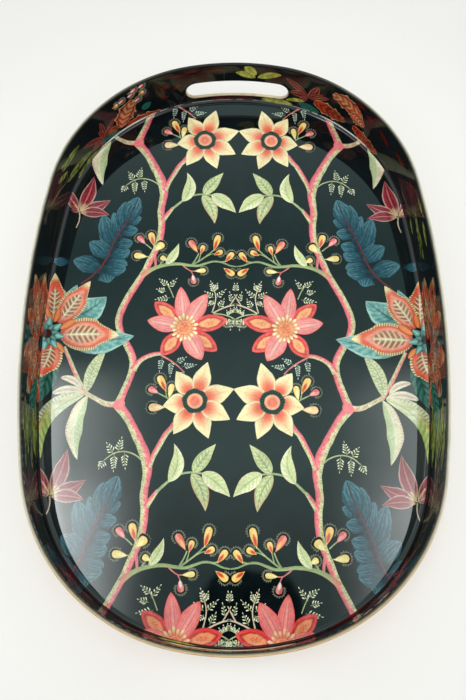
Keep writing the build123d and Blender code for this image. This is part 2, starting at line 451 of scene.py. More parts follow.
def end_y(x, inset):
    """The outline's y at x near the middle of an end."""
    x = np.abs(np.asarray(x, float))
    edge = (R_END - inset) * math.cos(A3)
    y3 = EC[1] + np.sqrt(np.clip((R_END - inset) ** 2 - x**2, 0, None))
    y2 = CC[1] + np.sqrt(np.clip((R_CORNER - inset) ** 2 - (x - CC[0]) ** 2, 0, None))
    return np.where(x <= edge, y3, y2)


def fix_normals(o):
    bm = bmesh.new()
    bm.from_mesh(o.data)
    bmesh.ops.recalc_face_normals(bm, faces=bm.faces)
    bm.to_mesh(o.data)
    bm.free()
    o.data.update()


def cut(o, tool):
    md = o.modifiers.new("cut", "BOOLEAN")
    md.operation = "DIFFERENCE"
    md.solver = "EXACT"
    md.object = tool
    dg = bpy.context.evaluated_depsgraph_get()
    me = bpy.data.meshes.new_from_object(o.evaluated_get(dg), depsgraph=dg)
    o.modifiers.clear()
    o.data = me
    bpy.data.objects.remove(tool)


def band(name, g0, g1, profile, shift=None, cols=None):
    """A closed band along part of the outline; profile is a loop of (inset, height)."""
    profile = np.array(profile, float)
    cols = cols or max(2, int(abs(g1 - g0) / STEP))
    u = np.linspace(0, 1, cols + 1)
    verts = []
    for i, uu in enumerate(u):
        g = g0 + (g1 - g0) * uu
        gg = np.full(len(profile), g)
        if shift is not None:
            near, far = (g - g0), (g1 - g)
            gg = gg + shift(profile[:, 0]) * max(0.0, 1 - near / 60) + shift(profile[:, 0]) * max(0.0, 1 - far / 60)
        xy, _ = around(gg, profile[:, 0])
        verts.append(np.concatenate([xy, profile[:, 1:2]], -1))
    m = len(profile)
    faces = []
    for i in range(cols):
        for k in range(m):
            a, b = i * m + k, i * m + (k + 1) % m
            faces.append([a, b, b + m, a + m])
    faces.append(list(range(m))[::-1])
    faces.append([cols * m + k for k in range(m)])
    o = new_object(name, np.concatenate(verts), faces)
    fix_normals(o)
    return o


def wall_profile():
    p = [(0.0, FOOT_C + 0.0)]
    for z in (8, 16, 24, 32, 40, 48):
        p.append((0.0, z))
    for k in range(7):
        a = math.pi / 2 * k / 6
        p.append((RIM_R * (1 - math.cos(a)), WALL_H - RIM_R + RIM_R * math.sin(a)))
    for k in range(7):
        a = math.pi / 2 * k / 6
        p.append((WALL_T - RIM_R + RIM_R * math.sin(a), WALL_H - RIM_R + RIM_R * math.cos(a)))
    for z in (48, 40, 32, 24, 16, 8):
        p.append((WALL_T, z))
    p += [(WALL_T, 0.0), (FOOT_C, 0.0)]
    return p


def scarf(t):
    """How far along the wall the joint lies at each depth, from the outer face to the inner."""
    return 14.0 - 28.0 * np.clip((np.asarray(t) - 0.7) / 1.6, 0, 1)


def wall_half(name, end):
    # back half: from the +X side to the -X side; front half: the rest
    g0 = 0.0 if end > 0 else GIRTH / 2
    o = band(name, g0, g0 + GIRTH / 2, wall_profile(), shift=scarf)
    cut(o, slot_cutter("cutter", end))
    smooth(o, 40)
    o.data.materials.clear()
    o.data.materials.append(GILT)
    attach(o, "root")
    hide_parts("wall_back_half" if end > 0 else "wall_front_half")
    return o


def smooth(o, degrees):
    me = o.data
    me.polygons.foreach_set("use_smooth", [True] * len(me.polygons))
    me.set_sharp_from_angle(angle=math.radians(degrees))


# ------------------------------------------------------------------ walls, floor, cove, liners
WALL_BACK = wall_half("rim_wall_back", 1)
WALL_FRONT = wall_half("rim_wall_front", -1)


def closed_ring(name, profile, cols):
    """A closed ring all round the outline; profile is a closed loop of (inset, height)."""
    profile = np.array(profile, float)
    g = np.linspace(0, GIRTH, cols + 1)[:-1]
    m = len(profile)
    verts = []
    for gg in g:
        xy, _ = around(np.full(m, gg), profile[:, 0])
        verts.append(np.concatenate([xy, profile[:, 1:2]], -1))
    faces = []
    for i in range(cols):
        j = (i + 1) % cols
        for k in range(m):
            k2 = (k + 1) % m
            faces.append([i * m + k, i * m + k2, j * m + k2, j * m + k])
    o = new_object(name, np.concatenate(verts), faces)
    fix_normals(o)
    return o


def make_floor():
    cols = 720
    g = np.linspace(0, GIRTH, cols + 1)[:-1]
    top, _ = around(g, LINER + COVE)
    verts = np.concatenate([
        np.concatenate([top, np.full((cols, 1), COAT_Z)], -1),
        np.concatenate([top, np.full((cols, 1), PRINT_Z + 0.05)], -1),
    ])
    faces = [list(range(cols)), list(range(cols, 2 * cols))[::-1]]
    for i in range(cols):
        j = (i + 1) % cols
        faces.append([i, i + cols, j + cols, j])
    o = new_object("floor_print", verts, faces)
    fix_normals(o)
    smooth(o, 30)
    o.data.materials.append(GROUND)
    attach(o, "root")
    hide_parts("floor_paper")
    return o


def make_cove():
    prof = [(LINER + COVE, PRINT_Z + 0.05), (LINER + COVE, COAT_Z)]
    for k in range(1, 13):
        a = math.pi / 2 * k / 12
        prof.append((LINER + COVE * (1 - math.sin(a)), COAT_Z + COVE * (1 - math.cos(a))))
    prof += [(LINER - 0.45, COAT_Z + COVE), (LINER - 0.45, PRINT_Z + 0.05)]
    o = closed_ring("clear_coat_cove", prof, 900)
    smooth(o, 30)
    o.data.materials.append(GROUND)
    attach(o, "root")
    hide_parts("clear_coat")
    return o


def paper_edge(g):
    """The torn upper edge of the wall paper, below the rim."""
    g = np.asarray(g, float)
    w = 0.5 + 0.22 * np.sin(g * 0.9) + 0.18 * np.sin(g * 2.3 + 1.0) + 0.14 * np.sin(g * 0.23 + 2.0)
    return PAPER_TOP + 0.2 - 0.5 * np.clip(w, 0, 1)


def make_liner(name, g0, g1, node_name):
    cols = int((g1 - g0) / 1.0)
    g = np.linspace(g0, g1, cols + 1)
    zs = list(np.linspace(COAT_Z + COVE, 50.0, 12))
    rows = len(zs) + 1
    verts, faces = [], []
    for inset in (LINER, LINER - 0.45):
        for i, gg in enumerate(g):
            xy, _ = around(np.full(rows, gg), inset)
            z = np.array(zs + [float(paper_edge(gg))])
            verts.append(np.concatenate([xy, z[:, None]], -1))
    m = rows
    n = (cols + 1) * m
    for i in range(cols):
        for k in range(m - 1):
            a = i * m + k
            faces.append([a, a + 1, a + m + 1, a + m])
            b = n + a
            faces.append([b, b + m, b + m + 1, b + 1])
        for k in (0, m - 1):
            a, c = i * m + k, n + i * m + k
            faces.append([a, a + m, c + m, c] if k == 0 else [a, c, c + m, a + m])
    for i in (0, cols):
        for k in range(m - 1):
            a, c = i * m + k, n + i * m + k
            faces.append([a, c, c + 1, a + 1] if i == 0 else [a, a + 1, c + 1, c])
    o = new_object(name, np.concatenate(verts), faces)
    fix_normals(o)
    for end in (1, -1):
        cut(o, slot_cutter("cutter", end, grow=SLOT_R, flare=False, t0=1.5, t1=5.5))
    smooth(o, 30)
    o.data.materials.clear()
    o.data.materials.append(WALL_GROUND)
    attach(o, "root")
    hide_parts(node_name)
    return o


make_floor()
make_cove()
G_BACK = g_of(-SEAM_X, HALF_L)  # the back seam
G_FRONT = g_of(SEAM_X, -HALF_L)  # the front seam
make_liner("wall_print_left", G_BACK + 0.06, G_FRONT - 0.06, "wall_paper_left")
make_liner("wall_print_right", G_FRONT + 0.06, GIRTH + G_BACK - 0.06, "wall_paper_right")

for node_name, m in (("base_board", UNDER), ("base_pins", STEEL)):
    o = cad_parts[node_name]
    if not o.material_slots:
        o.data.materials.append(m)
    for s in o.material_slots:
        s.material = m
# ------------------------------------------------------------------ the ornament, in pattern millimetres
LAYOUT = [
    ('layer', 'feather'),
    ('feather', 'teal', [(141.8, 49.4), (132.6, 57.3), (124.9, 66.9), (119.4, 78.0), (116.0, 89.2), (111.2, 101.4), (104.2, 115.5), (98.6, 128.9), (95.0, 140.7)], [((123.8, 62.8), (151.1, 73.3), 17), ((117.6, 74.9), (137.7, 92.7), 16), ((113.2, 84.2), (129.2, 101.0), 11), ((112.6, 87.7), (127.1, 121.7), 17), ((110.3, 95.5), (117.7, 124.5), 13), ((123.5, 62.8), (117.5, 51.1), 16), ((122.5, 64.5), (101.8, 64.4), 16), ((119.6, 71.4), (100.7, 69.2), 13), ((116.6, 80.3), (99.2, 84.7), 13), ((112.9, 90.9), (97.3, 94.1), 12), ((109.3, 101.5), (93.2, 105.8), 12), ((105.1, 111.4), (90.5, 119.0), 11), ((106.1, 104.8), (106.6, 136.4), 14), ((103.1, 111.4), (94.6, 141.7), 17), ((154.5, 72.3), (169.3, 73.6), 9)]),
    ('petal', 'teal_dark', (160.9, -16.5), (170.4, -64.4), 17.2, -2.7),
    ('layer', 'fern'),
    ('rib', 'fernstem', [(75.2, 154.7, 1.27), (82.1, 159.9, 1.19), (91.2, 162.5, 1.13), (100.0, 160.6, 1.01), (107.3, 155.0, 0.88)]),
    ('sprig', 'fern', (96.3, 161.7), (94.1, 173.9), 5.4, -0.0),
    ('sprig', 'fern', (100.0, 160.6), (106.2, 169.2), 5.4, 0.0),
    ('sprig', 'fern', (107.3, 155.3), (111.2, 148.1), 5.6, 0.0),
    ('sprig', 'fern', (99.4, 160.6), (99.0, 146.1), 5.2, 0.0),
    ('sprig', 'fern', (90.9, 162.1), (89.4, 148.5), 5.2, -0.0),
    ('sprig', 'fern', (61.6, 46.6), (54.8, 55.9), 4.7, 0.0),
    ('sprig', 'fern', (62.0, 49.3), (69.8, 55.1), 4.6, 0.0),
    ('sprig', 'fern', (63.5, 43.2), (71.6, 45.3), 4.7, -0.1),
    ('sprig', 'fern', (59.5, 37.1), (72.4, 35.1), 4.8, 0.0),
    ('sprig', 'ferngrey', (63.6, -20.7), (65.3, -33.0), 4.3, 0.0),
    ('sprig', 'ferngrey', (55.4, -22.9), (55.8, -37.6), 4.2, -0.0),
    ('sprig', 'ferngrey', (51.3, -24.8), (42.9, -20.1), 4.5, -0.0),
    ('sprig', 'ferngrey', (45.7, -28.7), (34.0, -26.8), 4.5, -0.0),
    ('sprig', 'ferngrey', (43.7, -33.2), (47.1, -39.4), 4.3, -0.0),
    ('sprig', 'fern', (19.0, 42.3), (23.0, 53.8), 4.6, 0.0),
    ('sprig', 'fern', (19.2, 45.4), (17.1, 51.5), 3.4, -0.1),
    ('sprig', 'fern', (20.1, 37.7), (27.6, 43.5), 4.4, -0.0),
    ('sprig', 'fern', (19.8, 35.0), (24.2, 30.4), 3.8, 0.0),
    ('sprig', 'fern', (17.6, 37.8), (9.5, 45.8), 4.2, 0.0),
    ('sprig', 'fern', (15.2, 27.8), (10.7, 36.2), 4.8, -0.0),
    ('sprig', 'fern', (3.0, 33.2), (5.4, 43.2), 3.8, 0.0),
    ('sprig', 'fern', (-0.1, 44.3), (1.2, 51.8), 4.0, -0.1),
    ('sprig', 'fern', (5.5, 20.9), (7.5, 24.8), 2.4, 0.0),
    ('sprig', 'fern', (3.2, 22.7), (4.3, 26.9), 2.4, 0.0),
    ('sprig', 'fern', (0.7, 24.0), (1.1, 28.0), 2.3, 0.0),
    ('sprig', 'fern', (2.7, 17.7), (4.0, 7.2), 4.0, -0.1),
    ('sprig', 'fern', (0.5, 16.6), (0.8, 11.3), 2.7, 0.1),
    ('sprig', 'fern', (4.1, 17.0), (6.0, 14.3), 2.2, -0.1),
    ('rib', 'fernstem', [(56.3, 37.2, 0.91), (59.9, 45.5, 0.83), (64.0, 52.4, 0.74)]),
    ('rib', 'creamstem', [(21.0, 23.1, 1.1), (19.4, 28.7, 1.0), (18.1, 35.7, 0.91), (18.5, 41.3, 0.82), (20.4, 46.8, 0.74), (22.6, 51.4, 0.65)]),
    ('rib', 'creamstem', [(20.0, 22.7, 1.45), (13.8, 26.4, 1.31), (6.2, 29.7, 1.22), (-1.6, 31.7, 1.18)]),
    ('rib', 'creamstem', [(5.6, 29.7, 1.03), (2.0, 35.4, 0.93), (-1.4, 41.6, 0.84)]),
    ('rib', 'fernstem', [(19.7, 22.0, 1.17), (13.6, 21.8, 1.07), (7.9, 20.6, 0.97), (2.8, 18.5, 0.96), (-0.5, 16.4, 0.86), (-2.3, 15.4, 0.76)]),
    ('rib', 'fernstem', [(7.3, 20.4, 0.95), (3.6, 23.1, 0.87), (-1.7, 24.7, 0.88)]),
    ('bud', 'cream', (7.7, 18.0), (7.5, 11.2), 2.3, 0.0),
    ('layer', 'trunk'),
    ('rib', 'beadstalk', [(99.0, 203.6, 6.28), (104.3, 203.1, 5.35), (110.3, 203.8, 4.73), (117.1, 206.9, 4.34), (122.7, 210.0, 3.99), (128.6, 213.1, 3.83)]),
    ('rib', 'stalk', [(128.0, 212.5, 4.24), (134.2, 222.2, 3.93), (140.2, 233.4, 3.78), (145.7, 244.6, 3.46), (151.1, 255.3, 3.13)]),
    ('rib', 'trunk', [(99.0, 202.5, 8.88), (89.9, 191.0, 7.67), (81.6, 176.2, 7.99), (74.0, 160.7, 8.78), (70.8, 147.1, 8.16), (71.7, 136.1, 6.76), (72.5, 125.2, 6.48), (71.1, 113.6, 6.44), (71.7, 98.9, 6.29), (74.8, 86.8, 6.18), (79.4, 75.5, 6.19), (84.3, 62.9, 5.99), (91.0, 50.0, 6.18), (96.8, 38.7, 6.49), (102.1, 25.8, 6.55), (104.5, 13.8, 6.5), (101.8, 2.0, 6.37), (95.8, -8.8, 6.52), (90.2, -19.8, 6.48), (89.0, -29.7, 6.19), (91.2, -40.8, 6.07), (95.4, -52.7, 6.41), (99.0, -63.7, 7.52)]),
    ('rib', 'trunk', [(69.7, 149.7, 5.02), (66.5, 159.1, 4.49), (61.8, 168.7, 4.77), (57.0, 178.0, 4.45), (52.3, 183.7, 4.71), (48.4, 190.5, 3.81)]),
    ('rib', 'trunk', [(88.5, -32.6, 5.94), (84.3, -25.4, 4.63), (78.5, -20.7, 3.95), (71.2, -17.7, 3.96), (64.1, -16.7, 3.2)]),
    ('rib', 'pinkstem', [(65.1, -18.2, 1.64), (56.8, -22.9, 1.36), (49.8, -27.9, 1.16), (43.5, -34.0, 1.07)]),
    ('rib', 'trunk', [(70.1, 117.0, 5.07), (65.8, 124.0, 4.09), (61.2, 130.7, 2.88)]),
    ('rib', 'greenstem', [(62.5, 129.0, 2.33), (53.0, 137.9, 2.14), (44.4, 143.8, 1.87), (34.2, 146.0, 1.66), (22.7, 144.9, 1.33)]),
    ('rib', 'sbranch', [(86.8, 58.2, 5.53), (80.8, 63.3, 4.67), (72.6, 67.8, 3.7), (62.8, 70.5, 3.19), (52.9, 71.3, 2.98), (44.4, 70.2, 2.77), (35.9, 69.7, 2.47), (28.9, 72.0, 2.26), (21.1, 74.4, 1.96), (13.3, 73.6, 1.74), (6.1, 70.5, 1.43), (0.2, 69.5, 1.23)]),
    ('rib', 'pinkstem', [(76.9, 83.5, 2.79), (75.0, 75.6, 2.4), (74.3, 68.5, 2.22)]),
    ('rib', 'greenstem', [(79.3, 86.4, 1.17), (83.1, 89.8, 1.08), (86.1, 92.2, 0.99)]),
    ('rib', 'greenstem', [(79.6, 79.0, 1.25), (81.7, 78.4, 1.04), (83.8, 78.3, 0.93)]),
    ('rib', 'greenstem', [(70.6, 70.2, 1.27), (68.4, 73.8, 1.1), (65.9, 75.5, 1.02)]),
    ('rib', 'greenstem', [(41.3, 70.5, 1.27), (37.8, 76.0, 1.16), (34.9, 82.7, 0.96)]),
    ('rib', 'greenstem', [(39.9, 70.9, 1.62), (33.2, 75.6, 1.41), (26.3, 81.2, 1.21), (20.5, 86.9, 1.0)]),
    ('rib', 'greenstem', [(35.2, 74.4, 1.04), (33.9, 79.2, 0.94), (33.2, 82.4, 0.85)]),
    ('rib', 'greenstem', [(28.4, 79.3, 1.13), (24.2, 81.6, 1.03), (20.4, 82.6, 0.93)]),
    ('rib', 'greenstem', [(14.7, 73.8, 1.24), (11.6, 74.4, 1.03), (9.4, 75.2, 0.92)]),
    ('rib', 'pinkstem', [(49.3, 69.8, 1.17), (45.6, 66.7, 1.08), (41.6, 64.3, 1.01), (37.8, 64.3, 0.92)]),
    ('rib', 'pinkstem', [(41.9, 64.6, 1.04), (40.4, 62.1, 0.93), (39.7, 59.8, 0.83)]),
    ('rib', 'greenstem', [(55.8, 208.6, 1.35), (58.4, 210.4, 1.24), (62.3, 212.5, 1.14), (65.8, 214.2, 1.03)]),
    ('rib', 'greenstem', [(57.6, 209.5, 1.09), (58.4, 213.1, 1.0), (59.1, 216.2, 0.9)]),
    ('disc', 'joint', (98.1, -63.3), 4.6),
    ('disc', 'joint', (99.0, 202.5), 4.4),
    ('layer', 'leaf'),
    ('leaf', 'pale', (52.7, 137.9), (49.6, 170.1), 11.7, 5.3),
    ('leaf', 'green', (32.4, 145.7), (14.1, 170.4), 11.5, -0.6),
    ('leaf', 'pinktip', (33.9, 144.7), (21.3, 114.2), 12.1, -3.1),
    ('leaf', 'pale', (24.9, 145.5), (1.2, 126.1), 13.6, -1.5),
    ('leaf', 'pale', (65.0, 71.1), (54.2, 92.6), 8.3, 1.9),
    ('leaf', 'lance', (126.2, 210.9), (130.0, 154.6), 14.2, 7.0),
    ('leaf', 'beaded', (127.3, 214.2), (113.9, 252.5), 10.9, -3.2),
    ('leaf', 'beadbig', (128.8, 212.5), (161.0, 155.0), 15.2, 17.2),
    ('leaf', 'pinkish', (132.1, 215.8), (151.3, 226.5), 6.5, 3.5),
    ('leaf', 'pinkish', (129.3, 213.0), (157.1, 211.7), 7.3, 3.7),
    ('layer', 'bud'),
    ('bud', 'pink', (85.4, 91.4), (92.8, 99.7), 7.4, -0.0),
    ('bud', 'yellowpink', (77.2, 89.6), (81.1, 103.8), 8.4, 0.0),
    ('bud', 'yellow', (75.5, 84.8), (68.5, 92.7), 9.6, 0.0),
    ('bud', 'yellow', (82.8, 78.2), (95.2, 79.5), 8.3, 0.0),
    ('bud', 'yellow', (64.1, 74.6), (70.3, 78.2), 7.0, -0.0),
    ('bud', 'pinkyellow', (36.1, 83.3), (44.0, 96.0), 8.1, 0.0),
    ('bud', 'yellowpink', (33.2, 81.8), (30.8, 91.1), 6.3, 0.0),
    ('bud', 'yellowred', (21.0, 85.5), (16.9, 102.0), 8.0, -0.0),
    ('bud', 'yellowred', (20.9, 81.0), (12.9, 85.3), 7.0, -0.0),
    ('bud', 'yellowred', (10.2, 73.9), (3.0, 83.9), 7.4, 0.0),
    ('bud', 'yellow', (38.2, 64.2), (27.8, 65.1), 6.1, -0.0),
    ('bud', 'pinkwhite', (39.8, 60.9), (38.4, 51.0), 7.2, 0.0),
    ('bud', 'yellowred', (11.5, 67.6), (1.7, 60.6), 7.9, 0.0),
    ('bud', 'yellowred', (58.5, 215.5), (65.6, 230.0), 8.4, 0.0),
    ('bud', 'pink', (65.1, 214.1), (73.9, 218.5), 7.6, 0.0),
    ('bud', 'yellow', (55.8, 209.7), (53.6, 222.8), 7.1, 0.0),
    ('bud', 'cream', (59.1, 201.4), (73.0, 201.1), 9.4, 0.0),
    ('layer', 'lily'),
    ('rib', 'creamstem', [(150.0, 124.0, 1.32), (149.3, 118.6, 1.08), (149.8, 113.6, 0.92), (151.8, 107.4, 0.76)]),
    ('petal', 'lily', (150.9, 125.6), (166.2, 153.8), 10.1, -1.2),
    ('petal', 'lily', (149.3, 126.5), (139.3, 164.0), 13.7, 1.7),
    ('petal', 'lily', (148.3, 125.7), (121.1, 138.1), 12.7, 1.7),
    ('petal', 'lily', (148.6, 123.8), (121.1, 121.5), 11.4, -1.9),
    ('petal', 'lily', (151.0, 125.1), (160.4, 132.1), 3.2, 0.0),
    ('petal', 'lily', (151.1, 124.4), (158.8, 127.2), 3.2, 0.0),
    ('rib', 'stamen', [(149.9, 124.8, 0.43), (147.5, 129.7, 0.52), (144.9, 133.3, 0.86)]),
    ('rib', 'stamen', [(149.9, 124.8, 0.43), (146.3, 128.7, 0.52), (142.6, 131.2, 0.86)]),
    ('rib', 'stamen', [(149.9, 124.8, 0.43), (145.6, 127.5, 0.51), (141.0, 128.8, 0.84)]),
    ('rib', 'stamen', [(149.9, 124.8, 0.43), (147.2, 126.8, 0.51), (144.3, 127.4, 0.84)]),
    ('rib', 'stamen', [(149.9, 124.8, 0.43), (148.3, 129.1, 0.51), (146.5, 132.0, 0.86)]),
    ('rib', 'stamen', [(149.9, 124.8, 0.4), (153.6, 131.1, 0.48), (157.1, 136.0, 0.8)]),
    ('rib', 'stamen', [(149.9, 124.8, 0.4), (152.5, 129.0, 0.48), (154.9, 131.9, 0.79)]),
    ('layer', 'coral'),
    ('petal', 'teal_leaf', (149.0, -5.4), (89.6, -0.7), 24.9, 2.9),
    ('petal', 'teal_leaf', (146.9, 15.2), (117.2, 37.0), 24.8, 2.0),
    ('petal', 'teal_leaf', (153.3, 23.4), (145.1, 48.5), 13.4, 0.0),
    ('petal', 'coral', (162.5, -7.8), (173.3, -42.3), 25.8, -2.8),
    ('petal', 'coral', (168.0, -0.6), (187.4, -4.7), 23.3, -0.0),
    ('petal', 'coral', (167.5, 11.2), (183.9, 42.5), 21.3, -1.8),
    ('petal', 'coral', (163.8, 11.2), (166.5, 59.9), 21.1, 0.9),
    ('petal', 'coral', (158.2, 10.6), (133.2, 52.2), 23.4, 0.0),
    ('petal', 'coral', (156.3, -1.2), (103.3, -0.3), 31.6, -1.0),
    ('petal', 'orange', (163.8, 11.2), (172.8, 26.8), 5.3, 0.0),
    ('petal', 'orange', (161.4, 11.3), (159.2, 24.4), 6.0, 0.0),
    ('petal', 'orange', (156.2, 4.7), (142.7, 14.3), 7.4, -0.0),
    ('petal', 'orange', (158.4, -7.8), (150.5, -17.7), 5.2, -0.0),
    ('petal', 'teal_star', (165.8, -0.1), (151.9, -2.8), 7.5, 0.0),
    ('petal', 'teal_star', (166.4, -1.3), (157.5, -13.4), 7.0, -0.0),
    ('petal', 'teal_star', (167.7, -1.6), (168.9, -16.1), 7.3, -0.0),
    ('petal', 'teal_star', (168.9, -0.8), (179.5, -9.2), 7.8, 0.0),
    ('petal', 'teal_star', (169.3, 0.6), (183.3, 3.3), 7.6, -0.0),
    ('petal', 'teal_star', (168.7, 1.8), (177.8, 14.1), 7.0, 0.1),
    ('petal', 'teal_star', (167.4, 2.1), (166.2, 16.8), 7.3, -0.0),
    ('petal', 'teal_star', (166.2, 1.3), (155.5, 9.8), 7.8, 0.1),
    ('petal', 'teal_star2', (166.8, -0.3), (159.2, -5.2), 5.4, -0.0),
    ('petal', 'teal_star2', (167.3, -0.7), (164.7, -9.5), 5.3, 0.0),
    ('petal', 'teal_star2', (168.0, -0.6), (171.9, -8.1), 5.7, -0.1),
    ('petal', 'teal_star2', (168.4, 0.0), (176.6, -1.8), 5.8, 0.0),
    ('petal', 'teal_star2', (168.4, 0.8), (176.0, 5.7), 5.4, -0.0),
    ('petal', 'teal_star2', (167.8, 1.2), (170.4, 10.1), 5.3, -0.0),
    ('petal', 'teal_star2', (167.1, 1.0), (163.2, 8.7), 5.7, -0.1),
    ('petal', 'teal_star2', (166.7, 0.4), (158.5, 2.3), 5.8, -0.0),
    ('disc', 'maroon', (167.6, 0.2), 4.2),
    ('layer', 'pink'),
    ('petal', 'coralin', (42.3, 8.8), (7.2, 16.3), 16.4, 0.0),
    ('petal', 'coralin', (42.7, 6.4), (15.5, -13.5), 15.7, 0.1),
    ('petal', 'coralin', (47.1, 5.7), (64.4, -18.3), 15.8, -0.0),
    ('petal', 'coralin', (47.6, 10.3), (73.1, 32.6), 15.4, -0.0),
    ('petal', 'pinkp', (45.7, 11.4), (50.2, 48.0), 14.0, 0.0),
    ('petal', 'pinkp', (43.7, 10.9), (26.0, 41.4), 15.9, 0.0),
    ('petal', 'pinkp', (43.7, 5.4), (28.7, -22.4), 17.9, 0.0),
    ('petal', 'pinkp', (48.3, 8.8), (78.9, 14.5), 16.3, -0.0),
    ('petal', 'stamen', (41.2, 7.8), (33.9, 7.2), 2.9, 0.0),
    ('petal', 'stamen', (41.6, 6.4), (33.2, 2.3), 2.8, 0.0),
    ('petal', 'stamen', (42.3, 5.2), (37.0, -0.4), 2.7, 0.0),
    ('petal', 'stamen', (43.5, 4.3), (39.4, -4.5), 2.7, -0.0),
    ('petal', 'stamen', (44.8, 3.9), (43.9, -3.9), 2.7, 0.0),
    ('petal', 'stamen', (46.2, 4.0), (48.2, -5.4), 2.7, 0.0),
    ('petal', 'stamen', (47.5, 4.6), (51.5, -1.8), 2.8, 0.0),
    ('petal', 'stamen', (48.5, 5.7), (55.8, 0.1), 2.8, -0.0),
    ('petal', 'stamen', (49.1, 7.1), (56.2, 5.0), 2.9, -0.1),
    ('petal', 'stamen', (49.3, 8.6), (58.4, 9.4), 2.9, -0.0),
    ('petal', 'stamen', (49.0, 10.0), (55.8, 13.3), 2.8, 0.0),
    ('petal', 'stamen', (48.2, 11.2), (54.9, 18.2), 2.8, -0.0),
    ('petal', 'stamen', (47.1, 12.1), (50.5, 19.3), 2.7, 0.0),
    ('petal', 'stamen', (45.8, 12.5), (46.9, 22.4), 2.7, 0.0),
    ('petal', 'stamen', (44.4, 12.4), (42.7, 20.1), 2.7, 0.1),
    ('petal', 'stamen', (43.1, 11.8), (38.0, 19.9), 2.8, -0.0),
    ('petal', 'stamen', (42.0, 10.7), (36.1, 15.3), 2.9, -0.0),
    ('petal', 'stamen', (41.4, 9.3), (32.6, 11.9), 2.9, 0.0),
    ('disc', 'orange', (45.3, 8.2), 6.2),
    ('layer', 'cream'),
    ('petal', 'cream', (37.4, 213.9), (50.7, 234.3), 16.4, -0.1),
    ('petal', 'cream', (26.9, 209.7), (-0.2, 219.0), 18.2, -0.1),
    ('petal', 'cream', (30.5, 200.3), (20.6, 174.8), 15.5, -0.0),
    ('petal', 'cream', (39.9, 206.4), (60.7, 202.8), 18.2, -0.0),
    ('petal', 'cream', (31.2, 215.1), (23.4, 243.3), 16.0, 0.0),
    ('petal', 'cream', (27.1, 204.4), (2.7, 191.6), 17.6, 0.0),
    ('petal', 'cream', (37.0, 201.1), (50.5, 177.8), 16.4, 0.0),
    ('ring', 'greenring', (33.3, 207.6), 6.6, 11.0),
    ('disc', 'coral', (33.3, 207.6), 6.9),
]


# ------------------------------------------------------------------ printed motifs
# Motifs are drawn as grids in pattern millimetres. Each grid carries t along the motif (0 to 1),
# v across it (-1 to 1), and a colour from them.
def hash_noise(x, y, scale):
    """Smooth value noise of a plane point, 0 to 1."""
    x, y = np.asarray(x, float) / scale, np.asarray(y, float) / scale
    xi, yi = np.floor(x), np.floor(y)
    fx, fy = x - xi, y - yi
    fx, fy = fx * fx * (3 - 2 * fx), fy * fy * (3 - 2 * fy)

    def h(a, b):
        v = np.sin(a * 127.1 + b * 311.7) * 43758.5453
        return v - np.floor(v)

    a = h(xi, yi) * (1 - fx) + h(xi + 1, yi) * fx
    b = h(xi, yi + 1) * (1 - fx) + h(xi + 1, yi + 1) * fx
    return a * (1 - fy) + b * fy


def ink(r, g, b):
    """A printed colour as it looks under the coat."""
    c = (lin(r, g, b) - 0.028) * 1.15
    c = c + 0.07 * (c.mean() - c)
    return np.clip(c, 0.0035, 0.96)


def line(d, w):
    """1 on a line, falling to 0 at distance w."""
    return np.clip(1 - np.abs(d) / w, 0, 1) ** 0.8


def ribs(t, v, count, slant, sharp=0.25):
    """Side veins running forward from the middle line."""
    ph = t * count - np.abs(v) * slant
    return line(np.abs(ph - np.round(ph)), sharp)


class Sheet:
    """Grids of one printed layer, in pattern millimetres."""

    def __init__(self):
        self.p, self.f, self.c, self.up, self.n = [], [], [], [], 0
        self.rank = 0

    def grid(self, p, c, fill=True):
        n, m = p.shape[:2]
        idx = self.n + np.arange(n * m).reshape(n, m)
        q = np.stack([idx[:-1, :-1], idx[1:, :-1], idx[1:, 1:], idx[:-1, 1:]], -1).reshape(-1, 4)
        self.p.append(p.reshape(-1, 2))
        self.c.append(np.broadcast_to(c, p.shape[:2] + (3,)).reshape(-1, 3))
        self.f.append(q)
        self.up.append(np.full(n * m, self.rank * 0.0014))
        self.n += n * m

    def arrays(self):
        return np.concatenate(self.p), np.concatenate(self.f), np.concatenate(self.c), np.concatenate(self.up)


def spine(base, tip, bend, t):
    a, b = np.array(base, float), np.array(tip, float)
    d = b - a
    n = np.array([-d[1], d[0]]) / (np.hypot(*d) + 1e-9)
    q = (a + b) / 2 + 2 * bend * n
    t = t[:, None]
    p = (1 - t) ** 2 * a + 2 * t * (1 - t) * q + t**2 * b
    g = 2 * (1 - t) * (q - a) + 2 * t * (b - q)
    g /= np.linalg.norm(g, axis=1, keepdims=True) + 1e-9
    return p, np.stack([-g[:, 1], g[:, 0]], -1)


